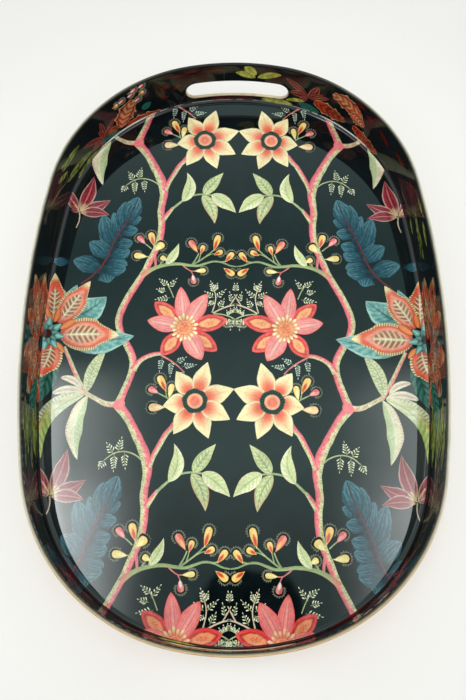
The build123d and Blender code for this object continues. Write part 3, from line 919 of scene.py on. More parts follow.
def blade(sheet, base, tip, w, bend, colour, a=0.7, b=0.8, n=22, m=11, root=0.0, edge=None, skew=0.0, fold=0.0, t0=0.0, t1=1.0, taper=0.0):
    """A petal or leaf: bent spine, width profile, colour(t, v, x, y)."""
    t = np.linspace(t0, t1, n)
    p, nrm = spine(base, tip, bend, t)
    peak = (a / (a + b)) ** a * (b / (a + b)) ** b
    h = (np.clip(t, 0, 1) ** a * np.clip(1 - t, 0, 1) ** b) / peak
    h = np.maximum(h, root * (1 - t))
    h = h * (1 - taper * np.clip((t - 0.62) / 0.38, 0, 1) ** 0.5 * 2.2 * np.clip(1 - t, 0, 1) ** 0.35)
    v = np.linspace(-1, 1, m)
    half = (w / 2) * h[:, None] * np.ones(m)[None, :]
    if edge is not None:
        half = half * (1 + edge(t)[:, None] * (np.abs(v)[None, :] ** 3))
    off = half * v[None, :] + skew * w * h[:, None]
    length = np.hypot(*(np.array(tip) - np.array(base)))
    pts = p[:, None, :] + nrm[:, None, :] * off[..., None]
    if fold:
        along = np.array(tip, float) - np.array(base, float)
        along /= np.hypot(*along)
        pts = pts + along * (fold * (1 - np.abs(v)) * 1.0)[None, :, None] * np.sin(np.pi * t)[:, None, None]
    T, V = np.meshgrid(t, v, indexing="ij")
    c = colour(T, V, pts[..., 0], pts[..., 1], length)
    sheet.grid(pts, c)


def ribbon(sheet, pts, colour, m=7, step_mm=1.4, fade=0.0):
    """A stem along a smooth curve through pts = (x, y, width)."""
    P = np.array(pts, float)
    n = len(P)
    ext = np.vstack([2 * P[0] - P[1], P, 2 * P[-1] - P[-2]])
    out = []
    for i in range(n - 1):
        p0, p1, p2, p3 = ext[i], ext[i + 1], ext[i + 2], ext[i + 3]
        k = max(2, int(np.hypot(*(p2 - p1)[:2]) / step_mm) + 1)
        for s in np.arange(k) / k:
            out.append(0.5 * (2 * p1 + (p2 - p0) * s + (2 * p0 - 5 * p1 + 4 * p2 - p3) * s**2 + (3 * p1 - 3 * p2 + p3 - p0) * s**3))
    out.append(P[-1])
    C = np.array(out)
    C[:, 2] = np.maximum(C[:, 2], 0.25)
    d = np.gradient(C[:, :2], axis=0)
    d /= np.linalg.norm(d, axis=1, keepdims=True) + 1e-9
    nrm = np.stack([-d[:, 1], d[:, 0]], -1)
    s = np.concatenate([[0], np.cumsum(np.hypot(*np.diff(C[:, :2], axis=0).T))])
    v = np.linspace(-1, 1, m)
    wob = 1 + 0.10 * (hash_noise(s, s * 0 + P[0, 0], 3.1) - 0.5)
    half = C[:, 2:3] / 2 * wob[:, None]
    pts2 = C[:, None, :2] + nrm[:, None, :] * (half * v[None, :])[..., None]
    S, V = np.meshgrid(s, v, indexing="ij")
    c = colour(S / s[-1], V, pts2[..., 0], pts2[..., 1], s[-1], S)
    sheet.grid(pts2, c)


def disc(sheet, c0, r0, r1, colour, n=36, m=6, wob=0.0):
    a = np.linspace(0, 2 * np.pi, n + 1)
    k = np.linspace(0, 1, m)
    R = r0 + (r1 - r0) * k[None, :] * np.ones(n + 1)[:, None]
    R = R * (1 + wob * (np.sin(a * 9)[:, None] * 0.5 + np.sin(a * 5 + 1)[:, None] * 0.5) * k[None, :] ** 2)
    pts = np.stack([c0[0] + R * np.cos(a)[:, None], c0[1] + R * np.sin(a)[:, None]], -1)
    A, K = np.meshgrid(a, k, indexing="ij")
    # counter-clockwise grids, as the blades are
    sheet.grid(pts[:, ::-1], colour(K[:, ::-1], A, pts[:, ::-1, 0], pts[:, ::-1, 1]))


# --- colours of the motifs
def c_cream(t, v, x, y, L):
    edge, pale, warm, deep = ink(255, 236, 186), ink(255, 226, 172), ink(244, 142, 104), ink(190, 56, 48)
    u = t + 0.34 * np.abs(v) ** 1.6
    k = 1 - step(0.24, 0.78, u)
    c = mix(pale, warm, k)
    c = mix(c, ink(228, 96, 76), (1 - step(0.14, 0.50, u)) * 0.8)
    c = mix(c, deep, (1 - step(0.04, 0.24, t + 0.35 * np.abs(v))) * 0.9)
    c = mix(c, edge, step(0.60, 0.95, np.abs(v)) * 0.85)
    streak = 0.5 + 0.5 * np.cos(v * 19 + 0.7 * np.sin(t * 9))
    c = mix(c, ink(214, 84, 66), 0.34 * streak * (1 - step(0.15, 0.55, t)) * step(0.05, 0.15, t))
    c = mix(c, ink(226, 172, 112), line(v, 0.10) * step(0.4, 0.6, t) * 0.5)
    return mix(c, ink(150, 120, 80), step(0.94, 1.0, np.abs(v)) * 0.5)


def c_pinkp(t, v, x, y, L):
    a, b, d = ink(250, 164, 154), ink(234, 112, 116), ink(184, 60, 74)
    c = mix(a, b, 0.10 + 0.50 * hash_noise(x, y, 3.0))
    for k, s0 in ((0.26, 0.09), (0.54, 0.08), (0.78, 0.05)):
        c = mix(c, d, line(np.abs(v) - k * np.sin(np.pi * np.clip(t, 0, 1)) ** 0.6, s0) * 0.42)
    c = mix(c, ink(255, 206, 190), line(v, 0.20) * 0.5 * step(0.1, 0.4, t))
    c = mix(c, ink(254, 190, 176), line(np.abs(v) - 0.41, 0.10) * 0.5)
    c = mix(c, ink(222, 74, 78), step(0.80, 0.96, np.abs(v)) * 0.7)
    c = mix(c, ink(228, 84, 78), step(0.86, 1.0, t) * 0.8)
    return mix(c, d, (1 - step(0.05, 0.25, t)) * 0.5)


def c_coralin(t, v, x, y, L):
    red, deep, gold, pink = ink(226, 78, 76), ink(160, 38, 48), ink(250, 184, 124), ink(240, 122, 112)
    c = mix(red, pink, 0.6 * hash_noise(x, y, 2.2))
    wob = 0.10 * np.sin(t * 34) + 0.06 * np.sin(t * 57 + v * 3)
    r = np.sqrt(((t - 0.56) / 0.30) ** 2 + (v / 0.58) ** 2) + wob * np.abs(v)
    c = mix(c, deep, line(r - 1.08, 0.18) * 0.85)
    c = mix(c, gold, 1 - step(0.70, 1.0, r))
    c = mix(c, ink(222, 96, 74), (1 - step(0.2, 0.8, r)) * (0.25 + 0.75 * ribs(t, v, 14, 1.6, 0.3)))
    c = mix(c, deep, step(0.86, 0.98, np.abs(v)) * 0.6)
    return mix(c, deep, (1 - step(0.05, 0.28, t)) * 0.55)


def c_coral(t, v, x, y, L):
    red, salmon, cream, dark, gold = ink(232, 90, 66), ink(246, 146, 120), ink(254, 236, 196), ink(120, 60, 44), ink(252, 234, 172)
    w = np.abs(v)
    c = mix(salmon, ink(252, 184, 152), 0.6 * hash_noise(x, y, 2.4))
    r = np.sqrt(((t - 0.40) / 0.33) ** 2 + (v / 0.60) ** 2)
    c = mix(c, ink(228, 84, 54), step(150.0, 161.0, np.abs(x)) * 0.8)
    c = mix(c, red, step(1.00, 1.30, r) * 0.8)
    core = 1 - step(0.76, 0.94, r + 0.06 * np.sin(t * 60))
    c = mix(c, ink(150, 92, 66), core * 0.85)
    curl = t + 0.05 * np.sin(w * 3.0)
    rib = np.maximum(ribs(curl, v, 11.0, 3.0, 0.24), line(v, 0.10)) * core
    c = mix(c, cream, rib)
    c = mix(c, cream, line(v, 0.08) * (1 - step(0.15, 0.3, t)) * 0.8)
    c = mix(c, dark, line(w - 0.80, 0.05) * 0.6)
    c = mix(c, gold, step(0.80, 0.93, t) * 0.9)
    bead = np.clip(0.5 + 0.75 * np.cos(t * L * 2 * np.pi / 2.1), 0, 1)
    c = mix(c, mix(ink(136, 80, 50), gold, bead), step(0.80, 0.86, w))
    return mix(c, ink(158, 50, 36), (1 - step(0.0, 0.2, t)) * 0.5)


def c_orange(t, v, x, y, L):
    c = mix(ink(214, 84, 44), ink(254, 152, 84), np.clip(1.15 - np.abs(v), 0, 1))
    return mix(c, ink(110, 40, 24), step(0.8, 1.0, np.abs(v)) * 0.8)


def c_teal_star(t, v, x, y, L):
    c = mix(ink(56, 122, 122), ink(150, 214, 200), np.clip(1.1 - np.abs(v) * 1.2, 0, 1) * step(0.2, 0.6, t))
    c = mix(c, ink(28, 54, 60), (1 - step(0.15, 0.42, t)))
    return mix(c, ink(24, 60, 66), step(0.78, 1.0, np.abs(v)) * 0.8)


def c_teal_star2(t, v, x, y, L):
    return c_teal_star(t, v, x, y, L) * 0.62


def c_teal_leaf(t, v, x, y, L):
    c = mix(ink(96, 156, 152), ink(160, 208, 196), hash_noise(x, y, 2.2))
    c = mix(c, ink(46, 98, 102), ribs(t, v, 8, 1.9, 0.22) * 0.7)
    c = mix(c, ink(196, 230, 212), line(np.abs(v) - 0.88, 0.12) * 0.65)
    c = mix(c, ink(40, 84, 88), (1 - step(0.2, 0.6, t)) * 0.5)
    return mix(c, ink(38, 84, 90), line(v, 0.06) * 0.8)


def c_teal_dark(t, v, x, y, L):
    c = mix(ink(30, 82, 76), ink(64, 134, 116), ribs(t, v, 7, 1.5, 0.34))
    return mix(c, ink(16, 40, 40), np.maximum(line(v, 0.09), step(0.85, 1.0, np.abs(v))) * 0.7)


def c_lily(t, v, x, y, L):
    c = mix(ink(112, 24, 42), ink(160, 52, 68), 0.7 * hash_noise(x, y, 2.0) + 0.3 * (1 - np.abs(v)))
    c = mix(c, ink(220, 150, 148), line(v, 0.10) * 0.7)
    c = mix(c, ink(206, 122, 126), line(np.abs(v) - 0.45, 0.08) * 0.40)
    c = mix(c, ink(236, 190, 176), step(0.78, 0.92, np.abs(v)) * 0.9)
    return mix(c, ink(240, 214, 168), (1 - step(0.0, 0.26, t)) * 0.7)


def leaf_colour(dark, mid, pale, edge, rim=0.5, count=7.5, tipc=None):
    def f(t, v, x, y, L):
        c = mix(mid, pale, step(-0.2, 0.9, v) * 0.6 + 0.4 * hash_noise(x, y, 3.0))
        c = mix(c, dark, ribs(t, v, count, 1.35, 0.20) * 0.50 * (1 - step(0.85, 1.0, np.abs(v))))
        c = mix(c, dark, line(v, 0.09) * 0.65)
        if tipc is not None:
            c = mix(c, tipc, step(0.45, 0.9, t) * 0.55)
            c = mix(c, tipc, step(0.80, 0.95, np.abs(v)) * 0.6)
        return mix(c, edge, step(0.86, 0.98, np.abs(v)) * rim)
    return f


c_pale = leaf_colour(ink(140, 160, 102), ink(200, 212, 150), ink(238, 240, 198), ink(226, 194, 152), 0.55)


def chevron_leaf(edge, rim, tipc):
    """A darker leaf with pale chevrons along its rib."""
    def f(t, v, x, y, L):
        w = np.abs(v)
        c = mix(ink(150, 170, 106), ink(204, 214, 154), 0.7 * hash_noise(x, y, 2.4) + 0.3 * step(0.2, 0.9, v))
        c = mix(c, ink(240, 240, 202), ribs(t, v, 8.0, 1.35, 0.30) * (1 - step(0.62, 0.86, w)) * 0.8)
        c = mix(c, ink(112, 132, 78), line(v, 0.10) * 0.75)
        c = mix(c, ink(136, 152, 96), line(w - 0.76, 0.14) * 0.45)
        c = mix(c, tipc, step(0.55, 0.95, t) * 0.35)
        return mix(c, edge, step(0.84, 0.97, w) * rim)
    return f


c_green = chevron_leaf(ink(226, 214, 164), 0.5, ink(226, 222, 172))
c_pinktip = chevron_leaf(ink(200, 122, 106), 0.8, ink(216, 166, 130))


def c_beaded(t, v, x, y, L):
    c = mix(ink(160, 178, 122), ink(228, 230, 188), hash_noise(x, y, 2.0) * 0.6 + ribs(t, v, 9, 1.2, 0.3) * 0.5)
    bead = 0.5 + 0.5 * np.cos(t * L * 2 * np.pi / 2.6)
    c = mix(c, mix(ink(108, 122, 74), ink(244, 240, 204), bead), line(np.abs(v) - 0.45, 0.20))
    c = mix(c, ink(124, 142, 88), line(v, 0.10) * 0.7)
    return mix(c, ink(150, 160, 110), step(0.86, 1.0, np.abs(v)) * 0.7)


def c_beadbig(t, v, x, y, L):
    """Green chevrons inside a golden rib, cream beads along the outer edge."""
    near = 1 - step(0.30, 0.62, t)
    c = mix(ink(104, 136, 54), ink(192, 208, 116), 0.25 + 0.75 * ribs(t, v, 10, 1.3, 0.46))
    c = mix(c, ink(96, 92, 34), step(0.08, 0.34, v) * (1 - near) * 0.7)
    c = mix(c, mix(ink(186, 192, 142), ink(240, 240, 206), hash_noise(x * 0.5, y * 1.7, 2.5)), near * 0.8)
    c = mix(c, ink(140, 146, 116), line(v + 0.30, 0.22) * near * 0.5)
    gold = mix(ink(186, 136, 36), ink(240, 200, 88), hash_noise(x, y, 1.6))
    c = mix(c, gold, line(v - 0.16, 0.20) * (1 - near * 0.75))
    bead = np.clip(0.5 + 0.8 * np.cos(t * L * 2 * np.pi / 2.6), 0, 1)
    c = mix(c, mix(ink(70, 62, 34), ink(248, 242, 214), bead), line(v - 0.66, 0.30) * (1 - near * 0.6))
    return mix(c, ink(60, 56, 28), step(0.92, 1.0, np.abs(v)) * 0.6 * (1 - near))


def c_lance(t, v, x, y, L):
    """Pale green inside the rib, cream with a pinkish beaded edge outside it."""
    c = mix(ink(182, 198, 144), ink(214, 222, 178), 0.6 * hash_noise(x, y, 3.0) + 0.4 * step(-0.9, 0.1, v))
    c = mix(c, ink(150, 174, 118), ribs(t, v, 14, 1.35, 0.20) * 0.45 * step(0.1, -0.2, v))
    c = mix(c, mix(ink(226, 212, 174), ink(242, 230, 198), hash_noise(x, y, 2.4)), step(0.0, 0.28, v) * 0.9)
    c = mix(c, ink(252, 246, 214), line(v - 0.02, 0.14) * 0.8)
    bead = 0.5 + 0.5 * np.cos(t * L * 2 * np.pi / 2.4)
    c = mix(c, mix(ink(206, 150, 138), ink(246, 222, 196), bead), step(0.74, 0.88, v) * 0.85)
    return mix(c, ink(150, 166, 120), step(0.88, 1.0, -v) * 0.6)


def c_pinkish(t, v, x, y, L):
    c = mix(ink(204, 190, 166), ink(234, 226, 198), hash_noise(x, y, 3.0))
    c = mix(c, ink(196, 124, 130), line(v, 0.42) * 0.55 * step(0.15, 0.4, t))
    c = mix(c, ink(246, 240, 208), line(np.abs(v) - 0.62, 0.22) * 0.7)
    return mix(c, ink(140, 142, 112), step(0.84, 1.0, np.abs(v)) * 0.6)


def c_stamen(t, v, x, y, L):
    c = mix(ink(232, 150, 100), ink(254, 232, 176), step(0.3, 0.8, t))
    return mix(c, ink(176, 84, 60), step(0.75, 1.0, np.abs(v)) * 0.4)


def c_trunk(t, v, x, y, L, s):
    pink, deep, cream, olive = ink(238, 116, 130), ink(196, 66, 88), ink(240, 230, 178), ink(172, 190, 130)
    c = mix(pink, ink(240, 140, 140), hash_noise(x, y, 2.2))
    k = v * TRUNK_SIDE
    c = mix(c, ink(206, 72, 104), 0.55 * step(0.52, 0.74, hash_noise(x * 1.3, y + 17, 1.3)) * step(-0.9, -0.4, k) * step(0.35, 0.0, k))
    side = step(0.08, 0.34, k + 0.22 * (hash_noise(x, y, 4.5) - 0.5))
    speck = step(0.50, 0.72, hash_noise(x + 31, y, 1.25))
    c = mix(c, cream, 0.70 * speck * step(-0.40, 0.10, k))
    c = mix(c, mix(olive, ink(224, 222, 166), hash_noise(x, y, 1.8)), side)
    bead = step(0.15, 0.75, np.sin(s * 2 * np.pi / 2.5 + 0.8 * hash_noise(x, y, 6.0)))
    c = mix(c, mix(ink(252, 246, 206), ink(150, 140, 96), 1 - bead), line(k - 0.66, 0.22) * 0.85)
    c = mix(c, deep, line(v * TRUNK_SIDE + 0.82, 0.26) * 0.6)
    return mix(c, ink(120, 84, 74), step(0.9, 1.0, np.abs(v)) * 0.35)


def c_beadstalk(t, v, x, y, L, s):
    """A side stem: pink where it leaves the trunk, then cream with dark spots."""
    c = mix(ink(240, 226, 188), ink(204, 190, 146), hash_noise(x, y, 2.0))
    spots = np.clip(np.cos(s * 2.6 + 1.6 * v) * 1.6 - 0.5, 0, 1) * np.clip(1.2 - np.abs(v), 0, 1)
    c = mix(c, ink(120, 92, 84), spots * 0.7)
    c = mix(c, ink(150, 150, 104), step(0.7, 1.0, np.abs(v)) * 0.6)
    return mix(c_trunk(t, v, x, y, L, s), c, step(0.10, 0.34, t))


def c_stalk(t, v, x, y, L, s):
    c = c_trunk(t, v, x, y, L, s)
    return mix(c, ink(206, 206, 150), 0.35 * step(0.3, 0.6, hash_noise(x, y + 9, 1.5)))


def c_stem(a, b):
    def f(t, v, x, y, L, s):
        return mix(a, b, hash_noise(x, y, 2.5) * 0.6 + 0.4 * np.clip(v, 0, 1))
    return f


def c_sbranch(t, v, x, y, L, s):
    c = mix(ink(216, 124, 112), ink(146, 166, 114), step(0.02, 0.16, t))
    c = mix(c, ink(112, 142, 104), step(0.55, 0.9, t) * 0.7)
    return mix(c, ink(208, 208, 156), line(v - 0.3, 0.5) * 0.45)


BLADES = {
    "cream": (c_cream, dict(a=0.62, b=1.02, n=28, m=17, root=0.42, taper=0.10)),
    "pinkp": (c_pinkp, dict(a=0.78, b=0.84, n=28, m=17, root=0.2, taper=0.06)),
    "coralin": (c_coralin, dict(a=0.95, b=0.76, n=26, m=15, root=0.2, taper=0.06)),
    "coral": (c_coral, dict(a=0.66, b=0.88, n=60, m=27, root=0.12, taper=0.34)),
    "orange": (c_orange, dict(a=0.7, b=0.7, n=12, m=7)),
    "teal_star": (c_teal_star, dict(a=0.7, b=0.9, n=14, m=9)),
    "teal_star2": (c_teal_star2, dict(a=0.7, b=0.7, n=14, m=9)),
    "teal_leaf": (c_teal_leaf, dict(a=0.8, b=1.0, taper=0.14, n=34, m=17)),
    "teal_dark": (c_teal_dark, dict(a=0.55, b=0.75, n=34, m=15)),
    "lily": (c_lily, dict(a=0.85, b=1.15, n=26, m=13, root=0.1, taper=0.12)),
    "pale": (c_pale, dict(a=0.72, b=1.12, taper=0.10, n=26, m=13, root=0.06)),
    "green": (c_green, dict(a=0.65, b=1.08, taper=0.10, n=26, m=13, root=0.06)),
    "pinktip": (c_pinktip, dict(a=0.65, b=1.0, taper=0.06, n=24, m=13, root=0.06)),
    "lance": (c_lance, dict(a=0.82, b=0.92, n=48, m=17, root=0.06, taper=0.10, edge=lambda t: 0.07 * np.sin(t * 13.0))),
    "beaded": (c_beaded, dict(a=0.6, b=0.8, n=44, m=17, root=0.12)),
    "beadbig": (c_beadbig, dict(a=0.55, b=0.75, n=52, m=21)),
    "pinkish": (c_pinkish, dict(a=0.7, b=0.6, n=24, m=9)),
    "stamen": (c_stamen, dict(a=0.75, b=0.38, n=9, m=5, root=0.62)),
}
RIBS = {
    "trunk": (c_trunk, 11),
    "stalk": (c_stalk, 9),
    "beadstalk": (c_beadstalk, 9),
    "pinkstem": (c_stem(ink(206, 96, 104), ink(236, 170, 150)), 3),
    "greenstem": (c_stem(ink(120, 150, 104), ink(196, 204, 150)), 3),
    "creamstem": (c_stem(ink(196, 176, 150), ink(234, 220, 186)), 3),
    "fernstem": (c_stem(ink(150, 160, 112), ink(206, 208, 160)), 3),
    "stamen": (c_stem(ink(226, 190, 130), ink(244, 226, 170)), 3),
    "sbranch": (c_sbranch, 5),
}
BUDS = {  # drop, heart, halo
    "pink": (ink(226, 104, 116), ink(244, 176, 172)),
    "yellowpink": (ink(240, 198, 108), ink(222, 92, 96)),
    "yellow": (ink(244, 212, 120), ink(252, 232, 172)),
    "pinkyellow": (ink(228, 112, 104), ink(240, 190, 120)),
    "yellowred": (ink(242, 202, 108), ink(214, 74, 60)),
    "pinkwhite": (ink(212, 96, 108), ink(240, 226, 214)),
    "cream": (ink(236, 192, 140), ink(250, 222, 170)),
}


def feather(sheet, mid, lobes):
    """A big soft leaf: lobes sweep forward from the midrib and lie over each other."""
    dark, teal, light, maroon = ink(18, 42, 54), ink(50, 94, 110), ink(108, 158, 168), ink(112, 54, 66)

    def colour(t, v, x, y, L):
        streak = 0.5 + 0.5 * np.cos(v * 17 + 1.4 * np.sin(t * 5) + 2.8 * hash_noise(x, y, 4.0))
        c = mix(teal, light, np.clip(0.75 * step(0.25, 0.95, t) * streak + 0.4 * (hash_noise(x, y, 2.0) - 0.4), 0, 1))
        c = mix(c, dark, 0.56 * (1 - streak) * (1 - step(0.85, 1.0, t)))
        c = mix(c, dark, line(v, 0.12) * 0.45)
        c = mix(c, dark, step(0.72, 1.0, np.abs(v)) * 0.5 * (1 - step(0.5, 0.9, t)))
        return mix(c, dark, (1 - step(0.0, 0.40, t)) * 0.75)

    def wavy(t):
        return 0.09 * np.abs(np.sin(t * 15.0)) * step(0.2, 0.5, t)

    for base, tip, w in lobes:
        sheet.rank += 1
        b, q = np.array(base, float), np.array(tip, float)
        near = np.array(mid)[np.argmin(np.hypot(*(np.array(mid) - b).T))]
        turn = 1.0 if np.cross(q - b, near - b) > 0 else -1.0
        blade(sheet, base, tip, w, 1.3 * turn, colour, a=0.85, b=0.78, n=30, m=15, root=0.55, edge=wavy, taper=0.05)
    sheet.rank += 1
    pts = [(x, y, 0.7 + 1.3 * (1 - i / (len(mid) - 1))) for i, (x, y) in enumerate(mid)]
    ribbon(sheet, pts, lambda t, v, x, y, L, s: mix(maroon, dark, step(0.6, 1.0, t) * 0.8), m=5)


def sprig(sheet, base, tip, w, col_a, col_b):
    """A small fern tip: a thin stem with fine paired leaflets."""
    a, b = np.array(base, float), np.array(tip, float)
    d = b - a
    L = np.hypot(*d)
    d /= L
    n = np.array([-d[1], d[0]])

    def colour(t, v, x, y, LL):
        return mix(col_a, col_b, step(0.1, 0.7, t))

    ribbon(sheet, [(*a, 0.45), (*((a + b) / 2), 0.40), (*b, 0.30)], lambda t, v, x, y, LL, s: mix(col_a, col_b, t * 0.5), m=3)
    k = max(3, int(L / 2.9))
    for i in range(k):
        s = 0.16 + 0.76 * i / k
        r = w * (1.16 - 0.86 * s)
        for side in (1, -1):
            jit = math.sin((a[0] + i * 2.3 + side) * 5.1) * 0.12
            p0 = a + d * L * (s + (0.03 if side > 0 else 0.0))
            p1 = p0 + (n * side * (0.80 + jit) + d * (0.66 - jit)) * r * 0.78
            blade(sheet, p0, p1, 0.98, 0.25 * side, colour, a=0.6, b=0.35, n=5, m=3, root=0.2)
    blade(sheet, a + d * L * 0.86, b + d * 1.4, 0.7, 0, colour, a=0.6, b=0.5, n=5, m=3)


def bud(sheet, base, tip, w, outer, heart):
    a, b = np.array(base, float), np.array(tip, float)
    d = b - a
    L = np.hypot(*d)
    d /= L
    n = np.array([-d[1], d[0]])
    w = w * 0.77
    # a dark halo round the head, with a fringe of fine pale hairs
    centre = a + d * (L - w * 0.5)
    dim = lambda t, v, x, y, LL: mix(ink(22, 32, 31), ink(30, 42, 42), step(0.5, 0.95, np.abs(v)))
    blade(sheet, a + d * L * 0.12, b + d * w * 0.24, w * 1.34, 0, dim, a=0.95, b=0.42, n=14, m=7, root=0.1)
    for i in range(25):
        th = -2.25 + 4.5 * i / 24
        out = d * math.cos(th) + n * math.sin(th)
        q = centre + out * w * 0.5
        blade(sheet, q + out * 0.3, q + out * (2.5 + 0.7 * (i % 2)), 0.48, 0.25, lambda t, v, x, y, LL: mix(ink(84, 96, 86), ink(172, 174, 150), t), a=0.5, b=0.5, n=5, m=3)
    sheet.rank += 1
    c1 = lambda t, v, x, y, LL: mix(mix(outer, ink(250, 236, 190), line(v + 0.35, 0.5) * 0.4), ink(150, 96, 60), step(0.82, 1.0, np.abs(v)) * 0.45)
    blade(sheet, a, b, w, 0, c1, a=0.95, b=0.42, n=18, m=9, root=0.12)
    sheet.rank += 1
    c2 = lambda t, v, x, y, LL: mix(heart, outer, np.maximum(step(0.45, 1.0, np.abs(v)), step(0.6, 1.0, t)) * 0.65)
    blade(sheet, a + d * L * 0.08, a + d * L * 0.74, w * 0.52, 0, c2, a=0.72, b=0.85, n=12, m=7)


DISCS = {
    "joint": lambda k, a, x, y: mix(ink(232, 112, 122), ink(240, 140, 140), hash_noise(x, y, 2.2)),
    "maroon": lambda k, a, x, y: mix(ink(88, 32, 42), ink(34, 18, 28), step(0.2, 1.0, k) * (0.6 + 0.4 * np.cos(a * 9))),
    "orange": lambda k, a, x, y: mix(mix(ink(248, 164, 112), ink(216, 96, 76), hash_noise(x, y, 1.1)), ink(240, 190, 130), step(0.75, 1.0, k) * 0.8),
    "coral": lambda k, a, x, y: mix(mix(ink(244, 134, 104), ink(222, 92, 78), hash_noise(x, y, 2.2)), ink(252, 196, 150), line(k - 0.8, 0.25) * 0.8),
    "greenring": lambda k, a, x, y: mix(mix(ink(50, 78, 66), ink(20, 38, 38), 0.5 + 0.5 * np.cos(a * 22)), ink(96, 128, 100), step(0.78, 1.0, k) * 0.45),
}
TRUNK_SIDE = 1.0


def build_layer(items):
    sh = Sheet()
    for it in items:
        kind, style = it[0], it[1]
        sh.rank += 1
        if kind in ("petal", "leaf"):
            colour, opt = BLADES[style]
            blade(sh, it[2], it[3], it[4], it[5], colour, **opt)
        elif kind == "rib":
            colour, m = RIBS[style]
            ribbon(sh, it[2], colour, m=m, step_mm=1.1 if m > 5 else 1.6)
        elif kind == "feather":
            feather(sh, it[2], it[3])
        elif kind == "sprig":
            a, b = (ink(150, 166, 118), ink(244, 246, 206)) if style == "fern" else (ink(120, 142, 128), ink(212, 230, 208))
            sprig(sh, it[2], it[3], it[4], a, b)
        elif kind == "bud":
            bud(sh, it[2], it[3], it[4], *BUDS[style])
        elif kind == "disc":
            disc(sh, it[2], 0.0, it[3], DISCS[style])
        elif kind == "ring":
            disc(sh, it[2], it[3], it[4], DISCS[style], n=72, m=5, wob=0.05)
    return sh


X0, TURN, REPEAT = 0.645, -0.0168403, 267.309
EDGE = 1.35  # the printed floor shows to this far from the wall's face


def lay_floor(name, sheet, level, copies, pink_shift=False, right_shift=0.0):
    """Lays a layer's mirrored and repeated copies on the floor and cove, cut at the edge."""
    P, F, C, U = sheet.arrays()
    cs, sn = math.cos(TURN), math.sin(TURN)
    allp, allf, allc, allu, n = [], [], [], [], 0
    for k in copies:
        for side in (-1, 1):
            q = P.copy()
            if pink_shift and k == 1:
                ctr = np.array([45.3, 8.9])
                q = (q - ctr) * 0.96 + np.array([41.7, 13.7])
            if right_shift and side > 0:
                low = 1.0 if name != "inlay_leaf" else 1 - step(60.0, 90.0, q[:, 1] - k * REPEAT)
                q[:, 0] += right_shift * step(112.0, 128.0, q[:, 0]) * low
            if name == "inlay_cream" and side > 0 and k == 0:
                q[:, 0] = 3.0 + (q[:, 0] - 3.0) * 0.955
            px, py = side * q[:, 0], q[:, 1] - k * REPEAT
            p = np.stack([X0 + cs * px - sn * py, sn * px + cs * py], -1)
            f = F if side > 0 else F[:, ::-1]
            d, nn = depth(p)
            e = d - LINER
            out = e < EDGE
            keep = ~out[f].all(1)
            f = f[keep]
            if not len(f):
                continue
            p = np.where(out[:, None], p + nn * (EDGE - e)[:, None], p)
            used, inv = np.unique(f, return_inverse=True)
            allp.append(p[used])
            # the nearer pink flowers are printed redder
            allc.append(C[used] * (np.array([0.98, 0.73, 0.75]) if pink_shift and k == 1 else 1.0))
            allu.append(U[used])
            allf.append(inv.reshape(f.shape) + n)
            n += len(used)
    p, f, c, u = np.concatenate(allp), np.concatenate(allf), np.concatenate(allc), np.concatenate(allu)
    pos, nrm = floor_surface(p, 0.0)
    pos = pos + nrm * (level + u)[:, None]
    emit(name, pos, f, nrm, c, "floor_print")


def emit(name, pos, f, nrm, c, slot_name):
    # drop faces that clamping has flattened, then loose points
    a = pos[f]
    area = 0.5 * np.linalg.norm(np.cross(a[:, 2] - a[:, 0], a[:, 3] - a[:, 1]), axis=1)
    f = f[area > 1e-3]
    used, inv = np.unique(f, return_inverse=True)
    f = inv.reshape(f.shape)
    pos, nrm, c = pos[used], nrm[used], c[used]
    faces = []
    for q in f.tolist():
        faces.append(q)
    o = new_object(name, pos, faces, nrm, c, WALL_INK if slot_name == "wall_print" else INK)
    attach(o, "root")
    return o


layers, current = {}, None
for item in LAYOUT:
    if item[0] == "layer":
        current = layers.setdefault(item[1], [])
    else:
        current.append(item)

height = 0.012
for lname, copies in [
    ("feather", (0, 1)), ("fern", (-1, 0, 1)), ("trunk", (-1, 0, 1)), ("lily", (0, 1)), ("leaf", (-1, 0, 1)), ("bud", (-1, 0, 1)),
    ("coral", (-1, 0)), ("pink", (0, 1)), ("cream", (0, 1)),
]:
    sheet = build_layer(layers[lname])
    lay_floor("inlay_" + lname, sheet, height, copies, pink_shift=lname == "pink", right_shift=2.4 if lname in ("coral", "lily", "leaf") else 0.0)
    height += (sheet.rank + 3) * 0.0014


